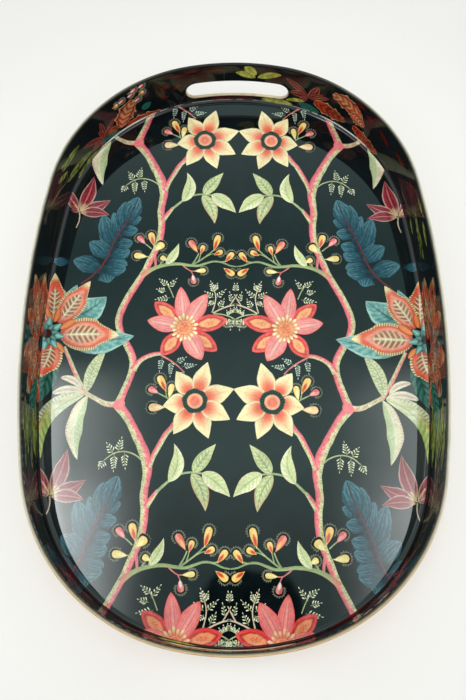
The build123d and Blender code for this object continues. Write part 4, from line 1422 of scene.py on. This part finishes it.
# Wall motifs: (running length, height) in millimetres.
WALL = [
    ('leaf', 'w_orange', (476.4, 8.2), (435.5, 6.7), 16, 3),
    ('leaf', 'w_orange2', (482.7, 10.4), (462.5, 37.5), 22, -3),
    ('leaf', 'w_orange', (499.6, 16.7), (484.8, 15.2), 9, 1),
    ('petal', 'w_lily', (505.2, 14.9), (534.7, 30.2), 6, 1),
    ('petal', 'w_lily', (505.2, 14.9), (488.4, 30.9), 7, 1),
    ('petal', 'w_lily', (505.2, 14.9), (506.1, 39.2), 6, 1),
    ('petal', 'w_lily', (505.2, 14.9), (524.8, 12.9), 6, 1),
    ('petal', 'w_lily', (505.2, 14.9), (529.3, 29.2), 4, 1),
    ('petal', 'w_lily', (505.2, 14.9), (508.2, 4.2), 6, 1),
    ('petal', 'w_lily', (505.2, 14.9), (496.2, 25.2), 4, 1),
    ('petal', 'w_lily', (505.2, 14.9), (510.4, 29.7), 5, 1),
    ('bud', 'yellowred', (488.1, 43.5), (481.2, 43.5), 5.5, 0.0),
    ('bud', 'pinkwhite', (480.9, 44.2), (474.2, 44.7), 5.5, 0.0),
    ('bud', 'pinkwhite', (470.2, 45.0), (463.9, 46.2), 5.5, 0.0),
    ('bud', 'pinkwhite', (457.3, 49.7), (451.0, 51.5), 5.5, 0.0),
    ('bud', 'yellowred', (458.0, 41.0), (451.7, 43.0), 5.5, 0.0),
    ('bud', 'pinkwhite', (463.6, 34.7), (457.1, 36.2), 5.5, 0.0),
    ('bud', 'pinkwhite', (466.1, 49.0), (459.8, 50.5), 5.5, 0.0),
    ('petal', 'teal_dark', (456.6, 19.2), (446.3, 24.4), 9, 0.0),
    ('petal', 'teal_dark', (511.0, 12.9), (484.0, 8.0), 5, 0.0),
    ('leaf', 'w_lance', (572.1, 42.7), (535.8, 39.0), 9, 1),
    ('leaf', 'w_lance', (569.8, 22.4), (523.9, 15.2), 10, 1),
    ('leaf', 'w_lance', (570.9, 46.0), (550.7, 38.5), 6, 1),
    ('leaf', 'w_lance', (549.3, 6.7), (504.8, 4.2), 11, 1),
    ('leaf', 'w_lance', (583.8, 41.7), (562.6, 31.2), 6, 1),
    ('leaf', 'w_lance', (553.8, 7.7), (520.8, 4.2), 7, 1),
    ('rib', 'w_stem', [(609.4, 43.7, 1.2), (589.6, 34.2, 1.2), (571.8, 25.4, 1.0), (564.0, 31.9, 0.8)]),
    ('petal', 'w_smudge', (436.8, 35.7), (423.1, 36.5), 7, 0.0),
    ('petal', 'w_smudge', (437.1, 24.7), (426.8, 21.9), 7, 0.0),
    ('petal', 'w_smudge', (423.6, 29.9), (411.4, 36.5), 6, 0.0),
    ('petal', 'w_smudge', (412.8, 49.0), (390.1, 50.2), 4, 0.0),
    ('petal', 'w_smudge', (387.2, 47.7), (366.4, 49.2), 4, 0.0),
    ('petal', 'w_smudgeg', (404.2, 41.5), (377.0, 43.0), 3, 0.0),
    ('petal', 'w_smudgeg', (446.8, 53.2), (428.3, 49.0), 5, 0.0),
    ('petal', 'w_smudge', (431.5, 47.7), (405.2, 47.5), 3, 0.0),
    ('leaf', 'w_trio', (339.5, 38.5), (359.0, 44.7), 9, 1),
    ('leaf', 'w_trio', (338.6, 42.5), (349.6, 55.0), 10, -1),
    ('leaf', 'w_trio', (337.4, 38.7), (314.2, 46.2), 8.5, -1),
    ('petal', 'w_lily', (285.0, 24.9), (310.0, 43.7), 7, 1),
    ('petal', 'w_lily', (285.0, 24.9), (305.1, 25.7), 8, 1),
    ('petal', 'w_lily', (285.0, 24.9), (294.7, 13.2), 6, 1),
    ('petal', 'w_lily', (285.0, 24.9), (275.4, 44.2), 9, 1),
    ('petal', 'w_lily', (285.0, 24.9), (262.8, 35.0), 6, 1),
    ('petal', 'w_lily', (285.0, 24.9), (279.9, 37.7), 5, 1),
    ('petal', 'w_lily', (285.0, 24.9), (292.2, 26.4), 4, 1),
    ('petal', 'w_lily', (285.0, 24.9), (269.7, 36.5), 5, 1),
    ('leaf', 'w_orange', (278.3, 22.9), (240.7, 16.9), 16, 2),
    ('leaf', 'w_orange2', (224.0, 35.0), (260.9, 42.7), 18, 2),
    ('leaf', 'w_orange2', (238.0, 30.9), (219.6, 25.9), 14, -2),
    ('leaf', 'w_orange', (232.4, 17.9), (194.6, 11.2), 13, 3),
    ('petal', 'w_smudge', (235.5, 50.0), (221.1, 49.7), 8, 0.0),
    ('petal', 'w_smudge', (221.6, 43.0), (208.8, 43.7), 9, 0.0),
    ('petal', 'w_smudge', (221.1, 55.2), (207.8, 55.2), 7, 0.0),
    ('petal', 'teal_dark', (294.2, 12.4), (270.6, 9.9), 9, 0.0),
    ('leaf', 'w_trio', (333.1, 9.2), (300.3, 8.2), 7, -1),
    ('leaf', 'w_trio', (307.5, 12.9), (288.0, 17.4), 5, -1),
    ('petal', 'w_red', (371.6, 7.7), (351.1, 12.2), 6, 0.0),
    ('petal', 'w_red', (355.7, 6.5), (339.0, 12.2), 5, 0.0),
    ('petal', 'w_red', (384.7, 7.2), (368.5, 11.2), 5, 0.0),
    ('petal', 'w_smudge', (202.9, 42.7), (182.0, 33.2), 9, 0.0),
    ('petal', 'w_smudgeg', (184.5, 25.2), (164.2, 20.7), 10, 0.0),
    ('petal', 'w_smudge', (176.2, 40.2), (148.5, 40.0), 9, 0.0),
    ('petal', 'w_smudgeg', (201.5, 30.2), (191.2, 36.7), 6, 0.0),
    ('petal', 'w_smudge', (143.7, 39.5), (121.5, 39.5), 8, 0.0),
    ('petal', 'w_smudgeg', (150.9, 23.9), (134.5, 21.7), 6, 0.0),
    ('leaf', 'w_lance', (116.5, 47.5), (95.4, 50.5), 6, 0.0),
    ('leaf', 'w_lance', (95.4, 45.0), (70.4, 42.2), 6, 0.0),
    ('leaf', 'w_lance', (114.3, 32.5), (68.8, 21.4), 6, 0.0),
    ('leaf', 'w_lance', (117.2, 16.4), (99.6, 12.4), 5, 0.0),
    ('leaf', 'w_lance', (98.7, 31.2), (65.5, 27.7), 5, 0.0),
]
WALL_LEFT = [
    ('petal', 'coral', (720.0, 8), (666.0, 20), 24, 2),
    ('petal', 'coral', (722.0, 10), (678.0, 46), 26, 2),
    ('petal', 'coral', (726.0, 12), (714.0, 52), 22, 1),
    ('petal', 'coral', (732.0, 12), (754.0, 52), 24, -1),
    ('petal', 'coral', (734.0, 9), (782.0, 40), 25, -2),
    ('petal', 'coral', (736.0, 7), (788.0, 15), 20, -2),
    ('petal', 'orange', (724.0, 10), (704.0, 36), 6, 0.0),
    ('petal', 'orange', (728.0, 10), (732.0, 38), 6, 0.0),
    ('petal', 'orange', (732.0, 9), (758.0, 28), 6, 0.0),
    ('petal', 'orange', (724.0, 8), (698.0, 14), 6, 0.0),
    ('petal', 'teal_star', (729.9, 7.5176380902050415), (742.5, 10.882285676537812), 7, 0.0),
    ('petal', 'teal_star', (729.2, 8.576021507213444), (737.2, 18.82016130410083), 7, 0.0),
    ('petal', 'teal_star', (728.0, 8.999695390312782), (728.3, 21.997715427345867), 7, 0.0),
    ('petal', 'teal_star', (726.8, 8.618033988749895), (719.2, 19.135254915624213), 7, 0.0),
    ('petal', 'teal_star', (726.1, 7.5847434094454735), (713.7, 11.385575570841048), 7, 0.0),
    ('leaf', 'teal_dark', (762.0, 10), (820.0, 34), 18, 2),
    ('leaf', 'w_lance', (904.0, 14), (824.0, 20), 9, 0.0),
    ('leaf', 'w_lance', (914.0, 26), (832.0, 32), 9, 0.0),
    ('leaf', 'w_lance', (898.0, 36), (820.0, 44), 10, 0.0),
    ('leaf', 'w_lance', (918.0, 44), (848.0, 50), 8, 0.0),
    ('leaf', 'w_lance', (878.0, 10), (812.0, 12), 7, 0.0),
    ('petal', 'w_smudgeg', (632.0, 16), (578.0, 22), 6, 0.0),
    ('petal', 'w_smudgeg', (638.0, 28), (588.0, 40), 6, 0.0),
    ('petal', 'w_smudgeg', (618.0, 44), (568.0, 34), 5, 0.0),
    ('petal', 'w_smudgeg', (628.0, 10), (598.0, 12), 4, 0.0),
    ('petal', 'w_lily', (944.0, 28), (924.0, 40), 7, 0.0),
    ('petal', 'w_lily', (944.0, 28), (932.0, 28), 8, 0.0),
    ('petal', 'w_lily', (944.0, 28), (956.0, 40), 8, 0.0),
    ('petal', 'w_lily', (944.0, 28), (964.0, 24), 7, 0.0),
    ('petal', 'w_lily', (944.0, 28), (934.0, 14), 6, 0.0),
    ('petal', 'w_lily', (944.0, 28), (968.0, 12), 5, 0.0),
    ('petal', 'w_lily', (944.0, 28), (944.0, 48), 6, 0.0),
    ('petal', 'w_smudge', (990.0, 14), (1028.0, 20), 7, 0.0),
    ('petal', 'w_smudge', (998.0, 34), (1046.0, 44), 7, 0.0),
    ('petal', 'w_smudge', (1018.0, 24), (1058.0, 32), 6, 0.0),
]
WALL_RIGHT = [
    # painted reflection: thin gold and brown streaks along the right wall, standing in for the floor print reflected in
    # the wall's glossy coat
    ('rib', 'w_gold', [(1338.0, 33.0, 0.5), (1306.0, 34.5, 1.2), (1266.0, 31.0, 0.5)]),
    ('rib', 'w_gold', [(1326.0, 26.0, 0.5), (1298.0, 27.5, 1.3), (1254.0, 26.0, 0.5)]),
    ('rib', 'w_gold', [(1316.0, 40.0, 0.5), (1290.0, 40.5, 1.1), (1248.0, 36.5, 0.5)]),
    ('rib', 'w_brown', [(1334.0, 29.5, 0.6), (1300.0, 31.0, 1.7), (1262.0, 28.5, 0.6)]),
    ('rib', 'w_brown', [(1318.0, 36.5, 0.6), (1288.0, 37.5, 2.0), (1240.0, 33.5, 0.6)]),
    ('rib', 'w_brown', [(1310.0, 20.0, 0.5), (1280.0, 21.5, 1.2), (1236.0, 20.5, 0.5)]),
    ('petal', 'coral', (1437.8, 8), (1491.8, 20), 24, -2),
    ('petal', 'coral', (1435.8, 10), (1479.8, 46), 26, -2),
    ('petal', 'coral', (1431.8, 12), (1443.8, 52), 22, -1),
    ('petal', 'coral', (1425.8, 12), (1403.8, 52), 24, 1),
    ('petal', 'coral', (1423.8, 9), (1375.8, 40), 25, 2),
    ('petal', 'coral', (1421.8, 7), (1369.8, 15), 20, 2),
    ('petal', 'orange', (1433.8, 10), (1453.8, 36), 6, -0.0),
    ('petal', 'orange', (1429.8, 10), (1425.8, 38), 6, -0.0),
    ('petal', 'orange', (1425.8, 9), (1399.8, 28), 6, -0.0),
    ('petal', 'orange', (1433.8, 8), (1459.8, 14), 6, -0.0),
    ('petal', 'teal_star', (1427.9, 7.5176380902050415), (1415.3, 10.882285676537812), 7, -0.0),
    ('petal', 'teal_star', (1428.6, 8.576021507213444), (1420.6, 18.82016130410083), 7, -0.0),
    ('petal', 'teal_star', (1429.8, 8.999695390312782), (1429.5, 21.997715427345867), 7, -0.0),
    ('petal', 'teal_star', (1431.0, 8.618033988749895), (1438.6, 19.135254915624213), 7, -0.0),
    ('petal', 'teal_star', (1431.7, 7.5847434094454735), (1444.1, 11.385575570841048), 7, -0.0),
    ('leaf', 'teal_dark', (1395.8, 10), (1337.8, 34), 18, -2),
    ('leaf', 'w_lance', (1253.8, 14), (1333.8, 20), 9, -0.0),
    ('leaf', 'w_lance', (1243.8, 26), (1325.8, 32), 9, -0.0),
    ('leaf', 'w_lance', (1259.8, 36), (1337.8, 44), 10, -0.0),
    ('leaf', 'w_lance', (1239.8, 44), (1309.8, 50), 8, -0.0),
    ('leaf', 'w_lance', (1279.8, 10), (1345.8, 12), 7, -0.0),
    ('petal', 'w_smudgeg', (1525.8, 16), (1579.8, 22), 6, -0.0),
    ('petal', 'w_smudgeg', (1519.8, 28), (1569.8, 40), 6, -0.0),
    ('petal', 'w_smudgeg', (1539.8, 44), (1589.8, 34), 5, -0.0),
    ('petal', 'w_smudgeg', (1529.8, 10), (1559.8, 12), 4, -0.0),
    ('petal', 'w_lily', (1213.8, 28), (1233.8, 40), 7, -0.0),
    ('petal', 'w_lily', (1213.8, 28), (1225.8, 28), 8, -0.0),
    ('petal', 'w_lily', (1213.8, 28), (1201.8, 40), 8, -0.0),
    ('petal', 'w_lily', (1213.8, 28), (1193.8, 24), 7, -0.0),
    ('petal', 'w_lily', (1213.8, 28), (1223.8, 14), 6, -0.0),
    ('petal', 'w_lily', (1213.8, 28), (1189.8, 12), 5, -0.0),
    ('petal', 'w_lily', (1213.8, 28), (1213.8, 48), 6, -0.0),
    ('petal', 'w_smudge', (1167.8, 14), (1129.8, 20), 7, -0.0),
    ('petal', 'w_smudge', (1159.8, 34), (1111.8, 44), 7, -0.0),
    ('petal', 'w_smudge', (1139.8, 24), (1099.8, 32), 6, -0.0),
]


def w_orange_colour(warm, deep, fill):
    def f(t, v, x, y, L):
        c = mix(warm, deep, hash_noise(x, y, 3.0) * 0.7)
        c = mix(c, ink(206, 66, 40), (1 - step(0.15, 0.5, t)) * 0.7)
        c = mix(c, ink(28, 26, 22), np.clip(2.0 * hash_noise(x * 1.2, y * 0.5, 1.6) - 1.0, 0, 0.6))
        c = mix(c, fill, (1 - step(0.35, 0.75, np.abs(v))) * ribs(t, v, 5.5, 1.2, 0.34))
        c = mix(c, ink(70, 30, 22), line(np.abs(v) - 0.72, 0.10) * 0.8)
        return mix(c, ink(232, 186, 130), step(0.84, 0.94, np.abs(v)) * 0.85)
    return f


def w_plain(a, b, rim, k=0.6):
    def f(t, v, x, y, L):
        c = mix(a, b, hash_noise(x, y, 2.6))
        return mix(c, rim, np.maximum(line(v, 0.12) * 0.5, step(0.8, 1.0, np.abs(v))) * k)
    return f


def w_soft(a):
    def f(t, v, x, y, L):
        g = ink(9, 17, 20)
        k = (1 - step(0.2, 1.0, np.abs(v))) * np.sin(np.pi * np.clip(t, 0, 1)) * (0.45 + 0.55 * hash_noise(x * 0.6, y * 2.2, 2.0))
        return mix(np.broadcast_to(g, v.shape + (3,)), a, k)
    return f


def ragged(t):
    return 0.13 * np.sin(t * 21 + 0.7) + 0.08 * np.sin(t * 43)


def w_streak(a, b, d):
    def f(t, v, x, y, L):
        k = hash_noise(x * 0.5, y * 2.4, 2.0)
        c = mix(a, b, np.clip(1.6 * k - 0.4, 0, 1))
        return mix(c, d, np.maximum(step(0.72, 1.0, np.abs(v)), line(v, 0.14) * 0.6))
    return f


BLADES.update({
    "w_orange": (w_orange_colour(ink(196, 92, 58), ink(132, 52, 36), ink(96, 44, 30)), dict(a=0.6, b=0.8, n=40, m=15, edge=ragged)),
    "w_orange2": (w_orange_colour(ink(190, 88, 60), ink(120, 50, 36), ink(196, 160, 112)), dict(a=0.6, b=0.7, n=40, m=15, edge=ragged)),
    "w_lily": (w_plain(ink(84, 22, 34), ink(122, 42, 50), ink(196, 132, 112), 0.8), dict(a=0.8, b=0.9, n=20, m=9, root=0.1)),
    "w_lance": (w_streak(ink(70, 84, 40), ink(150, 160, 84), ink(30, 36, 24)), dict(a=0.7, b=0.8, n=30, m=9)),
    "w_trio": (w_plain(ink(118, 132, 48), ink(190, 194, 96), ink(66, 58, 26), 0.75), dict(a=0.7, b=0.8, n=20, m=9)),
    "w_red": (w_plain(ink(92, 40, 36), ink(58, 28, 26), ink(130, 88, 74), 0.5), dict(a=0.5, b=0.5, n=20, m=9)),
    "w_smudge": (w_soft(ink(104, 46, 36)), dict(a=0.5, b=0.5, n=24, m=11)),
    "w_smudgeg": (w_soft(ink(56, 62, 36)), dict(a=0.5, b=0.5, n=24, m=11)),
})
RIBS["w_stem"] = (c_stem(ink(104, 84, 60), ink(150, 128, 92)), 3)



def w_cove_highlight(t, v, x, y, L, s):
    """A painted highlight at the foot of the back wall, in the coat's cove, drawn under the coat as a fine broken pale
    line.
    """
    u = np.abs(x - GIRTH / 4)
    k = (1 - step(142.0, 162.0, u)) * (0.36 + 0.64 * step(72.0, 92.0, u))
    k = k * np.maximum(step(0.30, 0.55, hash_noise(x * 0.8, y * 0.0, 4.0)), 0.85 * step(86.0, 98.0, u))
    return mix(ink(44, 50, 50), ink(232, 238, 232), k * (1 - 0.5 * step(0.3, 1.0, np.abs(v))))


RIBS["w_cove_highlight"] = (w_cove_highlight, 5)
# colours of the painted reflection streaks on the right wall
RIBS["w_gold"] = (c_stem(ink(84, 76, 44), ink(172, 158, 104)), 3)
RIBS["w_brown"] = (c_stem(ink(66, 44, 32), ink(112, 84, 56)), 3)
# painted highlight: the broken pale line along the back wall's cove
COVE_HIGHLIGHT_LINE = [('rib', 'w_cove_highlight', [(GIRTH / 4 + a, 6.9, w) for a, w in [
    (-161, 0.5), (-149, 0.8), (-136, 1.0), (-98, 0.9), (-82, 0.6), (-46, 0.55), (0, 0.5), (46, 0.55), (82, 0.7), (98, 1.0), (136, 1.1), (149, 0.9), (161, 0.5)]])]


def w_coral(t, v, x, y, L):
    """The big flower where it climbs the wall: browned and drawn out into streaks."""
    c = c_coral(t, v, x, y, L)
    streak = hash_noise(x * 0.35, y * 2.6, 2.0)
    c = mix(c, ink(150, 84, 48), 0.55)
    return mix(c, ink(40, 30, 22), np.clip(1.5 * streak - 0.25, 0, 0.92))


BLADES["w_coral"] = (w_coral, dict(a=0.6, b=0.7, n=52, m=25, root=0.2))


def slot_push(p, z):
    """For wall points inside a hand slot (grown a little): how to move them out, and which they are."""
    end = np.where(p[:, 1] > 0, 1.0, -1.0)
    dx = p[:, 0] - SLOT_X * end
    ax = np.clip(np.abs(dx) - (SLOT_L - SLOT_H) / 2, 0, None) * np.sign(dx)
    dz = z - SLOT_Z
    r = np.hypot(ax, dz)
    R = SLOT_H / 2 + SLOT_R + 0.12
    inside = (r < R) & (np.abs(p[:, 1]) > HALF_L * 0.8) & (np.abs(dx) < SLOT_L / 2 + 2)
    k = R / np.maximum(r, 1e-6)
    return inside, -end * ax * (k - 1), np.where(r < 1e-6, R, dz * (k - 1))


def lay_wall(name, groups, level):
    """groups: (items, turned) lists of motifs for the wall."""
    allp, allf, allc, allu, n = [], [], [], [], 0
    for items, shift in groups:
        P, F, C, U = build_layer(items).arrays()
        g, z = P[:, 0] + shift, P[:, 1].copy()
        top = paper_edge(g) - 0.05
        low = np.full_like(z, COAT_Z + COVE * 0.30)
        out = (z > top) | (z < low)
        xy, _ = around(g, LINER)
        inside, dg, dz = slot_push(xy, z)
        keep = ~(out[F].all(1) | inside[F].all(1))
        f = F[keep][:, ::-1]
        g = np.where(inside, g + dg, g)
        z = np.where(inside, z + dz, z)
        z = np.clip(z, low, top)
        used, inv = np.unique(f, return_inverse=True)
        allp.append(np.stack([g, z], -1)[used])
        allc.append(C[used])
        allu.append(U[used])
        allf.append(inv.reshape(f.shape) + n)
        n += len(used)
    p, f, c, u = np.concatenate(allp), np.concatenate(allf), np.concatenate(allc), np.concatenate(allu)
    pos, nrm = wall_surface(p[:, 0], p[:, 1], 0.0)
    pos = pos + nrm * (level + u)[:, None]
    emit(name, pos, f, nrm, c, "wall_print")


QUIET = {"w_orange": "w_smudge", "w_orange2": "w_smudge", "w_lance": "w_smudgeg", "teal_dark": "w_smudgeg", "w_red": "w_red"}


def quieter(items):
    """The front end repeats the back end's print, dimmer."""
    return [(it[0], QUIET.get(it[1], it[1]), *it[2:]) for it in items]


def side_items(items, middle):
    """Streaked petals, no second star, and the long leaves kept near the flower."""
    out = []
    for it in items:
        if it[1] in ("teal_star", "orange"):
            continue
        if it[1] == "coral":
            it = (it[0], "w_coral", *it[2:])
        if it[1] == "w_lance":
            pull = lambda q: (middle + (q[0] - middle) * 0.62, q[1])
            it = (it[0], it[1], pull(it[2]), pull(it[3]), *it[4:])
        out.append(it)
    return out


lay_wall("inlay_wall_ends", [(WALL + COVE_HIGHLIGHT_LINE, 0.0), (quieter(WALL), GIRTH / 2)], 0.02)
lay_wall("inlay_wall_left", [(side_items(WALL_LEFT, 728.0), 0.0)], 0.05)
lay_wall("inlay_wall_right", [(side_items(WALL_RIGHT, 1429.8), 0.0)], 0.05)


# ------------------------------------------------------------------ stage, light and camera
# painted light on the floor round the tray: the glow's near and far distances in metres, and its strengths there
SHADOW_FILL_GLOW = (0.18, 0.46, 0.212, 0.0)


def stage_floor():
    n = 24
    size = 2.4
    verts = [((i / n - 0.5) * 2 * size * 1000, (j / n - 0.5) * 2 * size * 1000, -0.05) for j in range(n + 1) for i in range(n + 1)]
    faces = [[j * (n + 1) + i, j * (n + 1) + i + 1, (j + 1) * (n + 1) + i + 1, (j + 1) * (n + 1) + i] for j in range(n) for i in range(n)]
    o = new_object("studio_floor", verts, faces)
    m, nt, p = base_material("studio_paper")
    tc = node(nt, "ShaderNodeTexCoord", (-900, 0))
    fib = noise(nt, tc.outputs["Object"], 3.0, 2.0, 0.5, (-700, 0))
    c = ramp(nt, fib.outputs["Fac"], [(0.3, (0.730, 0.712, 0.700)), (0.7, (0.748, 0.732, 0.718))], (-450, 0))
    nt.links.new(c.outputs["Color"], p.inputs["Base Color"])
    p.inputs["Roughness"].default_value = 0.9
    p.inputs["Specular IOR Level"].default_value = 0.1
    # painted light: a faint glow on the floor, strongest round the tray where it lifts the tray's shadow, dying away
    # further out
    nt.links.new(c.outputs["Color"], p.inputs["Emission Color"])
    far = node(nt, "ShaderNodeVectorMath", (-700, -300))
    far.operation = "LENGTH"
    nt.links.new(tc.outputs["Object"], far.inputs[0])
    shadow_fill_glow = node(nt, "ShaderNodeMapRange", (-450, -300))
    shadow_fill_glow.interpolation_type = "SMOOTHSTEP"
    shadow_fill_glow.inputs["From Min"].default_value = SHADOW_FILL_GLOW[0]
    shadow_fill_glow.inputs["From Max"].default_value = SHADOW_FILL_GLOW[1]
    shadow_fill_glow.inputs["To Min"].default_value = SHADOW_FILL_GLOW[2]
    shadow_fill_glow.inputs["To Max"].default_value = SHADOW_FILL_GLOW[3]
    nt.links.new(far.outputs["Value"], shadow_fill_glow.inputs["Value"])
    nt.links.new(shadow_fill_glow.outputs["Result"], p.inputs["Emission Strength"])
    o.data.materials.append(m)


stage_floor()


def studio_world():
    """A dim neutral room, a cool ceiling over the tray and a soft box on each side of it."""
    w = bpy.data.worlds.new("studio")
    scene.world = w
    w.use_nodes = True
    nt = w.node_tree
    nt.nodes.clear()
    tc = node(nt, "ShaderNodeTexCoord", (-1600, 0))
    xyz = node(nt, "ShaderNodeSeparateXYZ", (-1400, 0))
    nt.links.new(tc.outputs["Generated"], xyz.inputs[0])

    def math_node(kind, a, b=None):
        n = node(nt, "ShaderNodeMath", (-1000, 0))
        n.operation = kind
        for s, v in zip(n.inputs, (a, b)):
            if v is None:
                continue
            if hasattr(v, "links"):
                nt.links.new(v, s)
            else:
                s.default_value = v
        return n.outputs[0]

    def rise(v, a, b):
        mr = node(nt, "ShaderNodeMapRange", (-800, 0))
        mr.interpolation_type = "SMOOTHSTEP"
        mr.inputs["From Min"].default_value = min(a, b)
        mr.inputs["From Max"].default_value = max(a, b)
        mr.inputs["To Min"].default_value = 0.0 if a < b else 1.0
        mr.inputs["To Max"].default_value = 1.0 if a < b else 0.0
        nt.links.new(v, mr.inputs["Value"])
        return mr.outputs["Result"]

    def times(*vs):
        out = vs[0]
        for v in vs[1:]:
            out = math_node("MULTIPLY", out, v)
        return out

    up = math_node("MAXIMUM", xyz.outputs["Z"], 0.02)
    tx = math_node("DIVIDE", xyz.outputs["X"], up)
    ty = math_node("DIVIDE", xyz.outputs["Y"], up)
    left = math_node("MULTIPLY", tx, -1.0)
    wide = math_node("ABSOLUTE", tx)

    ceiling = ramp(nt, rise_linear(nt, ty, -0.20, 1.0), CEILING)
    over = times(rise(wide, 0.52, 0.30), rise(ty, 1.15, 0.90), rise(ty, -0.22, -0.10))
    room = mix_rgb(nt, "MIX", over, ROOM, ceiling.outputs["Color"])
    far_l, far_r = rise(left, 0.07, 0.24), rise(tx, 0.08, 0.27)
    fall = math_node("ADD", math_node("MULTIPLY", rise(ty, 0.36, 0.27), 0.42), math_node("MULTIPLY", rise(ty, 0.20, 0.11), 0.58))
    fall = times(fall, rise(ty, -0.10, -0.02))
    hot = math_node("ADD", 1.0, math_node("MULTIPLY", rise(left, 0.225, 0.262), 1.0))
    box_l = times(far_l, far_l, hot, rise(left, 0.280, 0.264), fall, BOX_LEFT)
    box_r = times(far_r, far_r, rise(tx, 0.275, 0.262), fall, BOX_RIGHT)
    across = math_node("POWER", math_node("ABSOLUTE", math_node("DIVIDE", math_node("SUBTRACT", tx, 0.019), 0.070)), 3.2)
    along = math_node("POWER", math_node("MAXIMUM", math_node("DIVIDE", math_node("ADD", ty, 0.03), 0.079), 0.0), 3.2)
    dark = times(rise(math_node("ADD", across, along), 1.25, 0.80), rise(ty, -0.30, -0.18))
    bg1 = node(nt, "ShaderNodeBackground", (-100, 0))
    nt.links.new(room, bg1.inputs["Color"])
    nt.links.new(math_node("MULTIPLY", math_node("SUBTRACT", 1.0, math_node("MULTIPLY", dark, 0.97)), 2.0), bg1.inputs["Strength"])
    bg2 = node(nt, "ShaderNodeBackground", (-100, -200))
    bg2.inputs["Color"].default_value = (0.95, 1.0, 0.99, 1)
    nt.links.new(math_node("ADD", box_l, box_r), bg2.inputs["Strength"])
    both = node(nt, "ShaderNodeAddShader", (100, 0))
    nt.links.new(bg1.outputs[0], both.inputs[0])
    nt.links.new(bg2.outputs[0], both.inputs[1])
    out = node(nt, "ShaderNodeOutputWorld", (300, 0))
    nt.links.new(both.outputs[0], out.inputs[0])


def rise_linear(nt, v, a, b):
    mr = node(nt, "ShaderNodeMapRange", (-800, 0))
    mr.inputs["From Min"].default_value = a
    mr.inputs["From Max"].default_value = b
    nt.links.new(v, mr.inputs["Value"])
    return mr.outputs["Result"]


# radiances halved, by the slope ty of the direction, from -0.2 to 1.0
ROOM = (0.580, 0.562, 0.556)
BOX_LEFT, BOX_RIGHT = 9.0, 7.4
CEILING = [
    (0.00, (0.30, 0.40, 0.40)),
    (0.20, (0.26, 0.38, 0.36)),
    (0.26, (0.36, 0.50, 0.47)),
    (0.34, (0.50, 0.74, 0.69)),
    (0.42, (0.42, 0.64, 0.60)),
    (0.49, (0.31, 0.48, 0.46)),
    (0.60, (0.18, 0.32, 0.31)),
    (0.75, (0.37, 0.53, 0.52)),
    (1.00, (0.42, 0.55, 0.54)),
]
studio_world()

cam_data = bpy.data.cameras.new("camera")
cam = bpy.data.objects.new("camera", cam_data)
scene.collection.objects.link(cam)
scene.camera = cam
cam_data.sensor_width = 36.0
cam_data.sensor_fit = "AUTO"
cam_data.lens = 36.875
cam_data.clip_start = 0.01
cam_data.clip_end = 20.0
RX, RY, RZ = -0.346845188, 0.00356715, -0.00141597
cx, sx = math.cos(RX), math.sin(RX)
cy, sy = math.cos(RY), math.sin(RY)
cz, sz = math.cos(RZ), math.sin(RZ)
_rx = np.array([[1, 0, 0], [0, cx, -sx], [0, sx, cx]])
_ry = np.array([[cy, 0, sy], [0, 1, 0], [-sy, 0, cy]])
_rz = np.array([[cz, -sz, 0], [sz, cz, 0], [0, 0, 1]])
_m = _ry @ _rx @ np.diag([1.0, -1.0, -1.0]) @ _rz
rot = Matrix((tuple(_m[0]), tuple(-_m[1]), tuple(-_m[2]))).transposed()
cam.matrix_world = Matrix.Translation(Vector((0.0016108, -0.227845, 0.60107))) @ rot.to_4x4()
scene.view_settings.view_transform = "Standard"
scene.view_settings.look = "None"

bpy.context.view_layer.update()
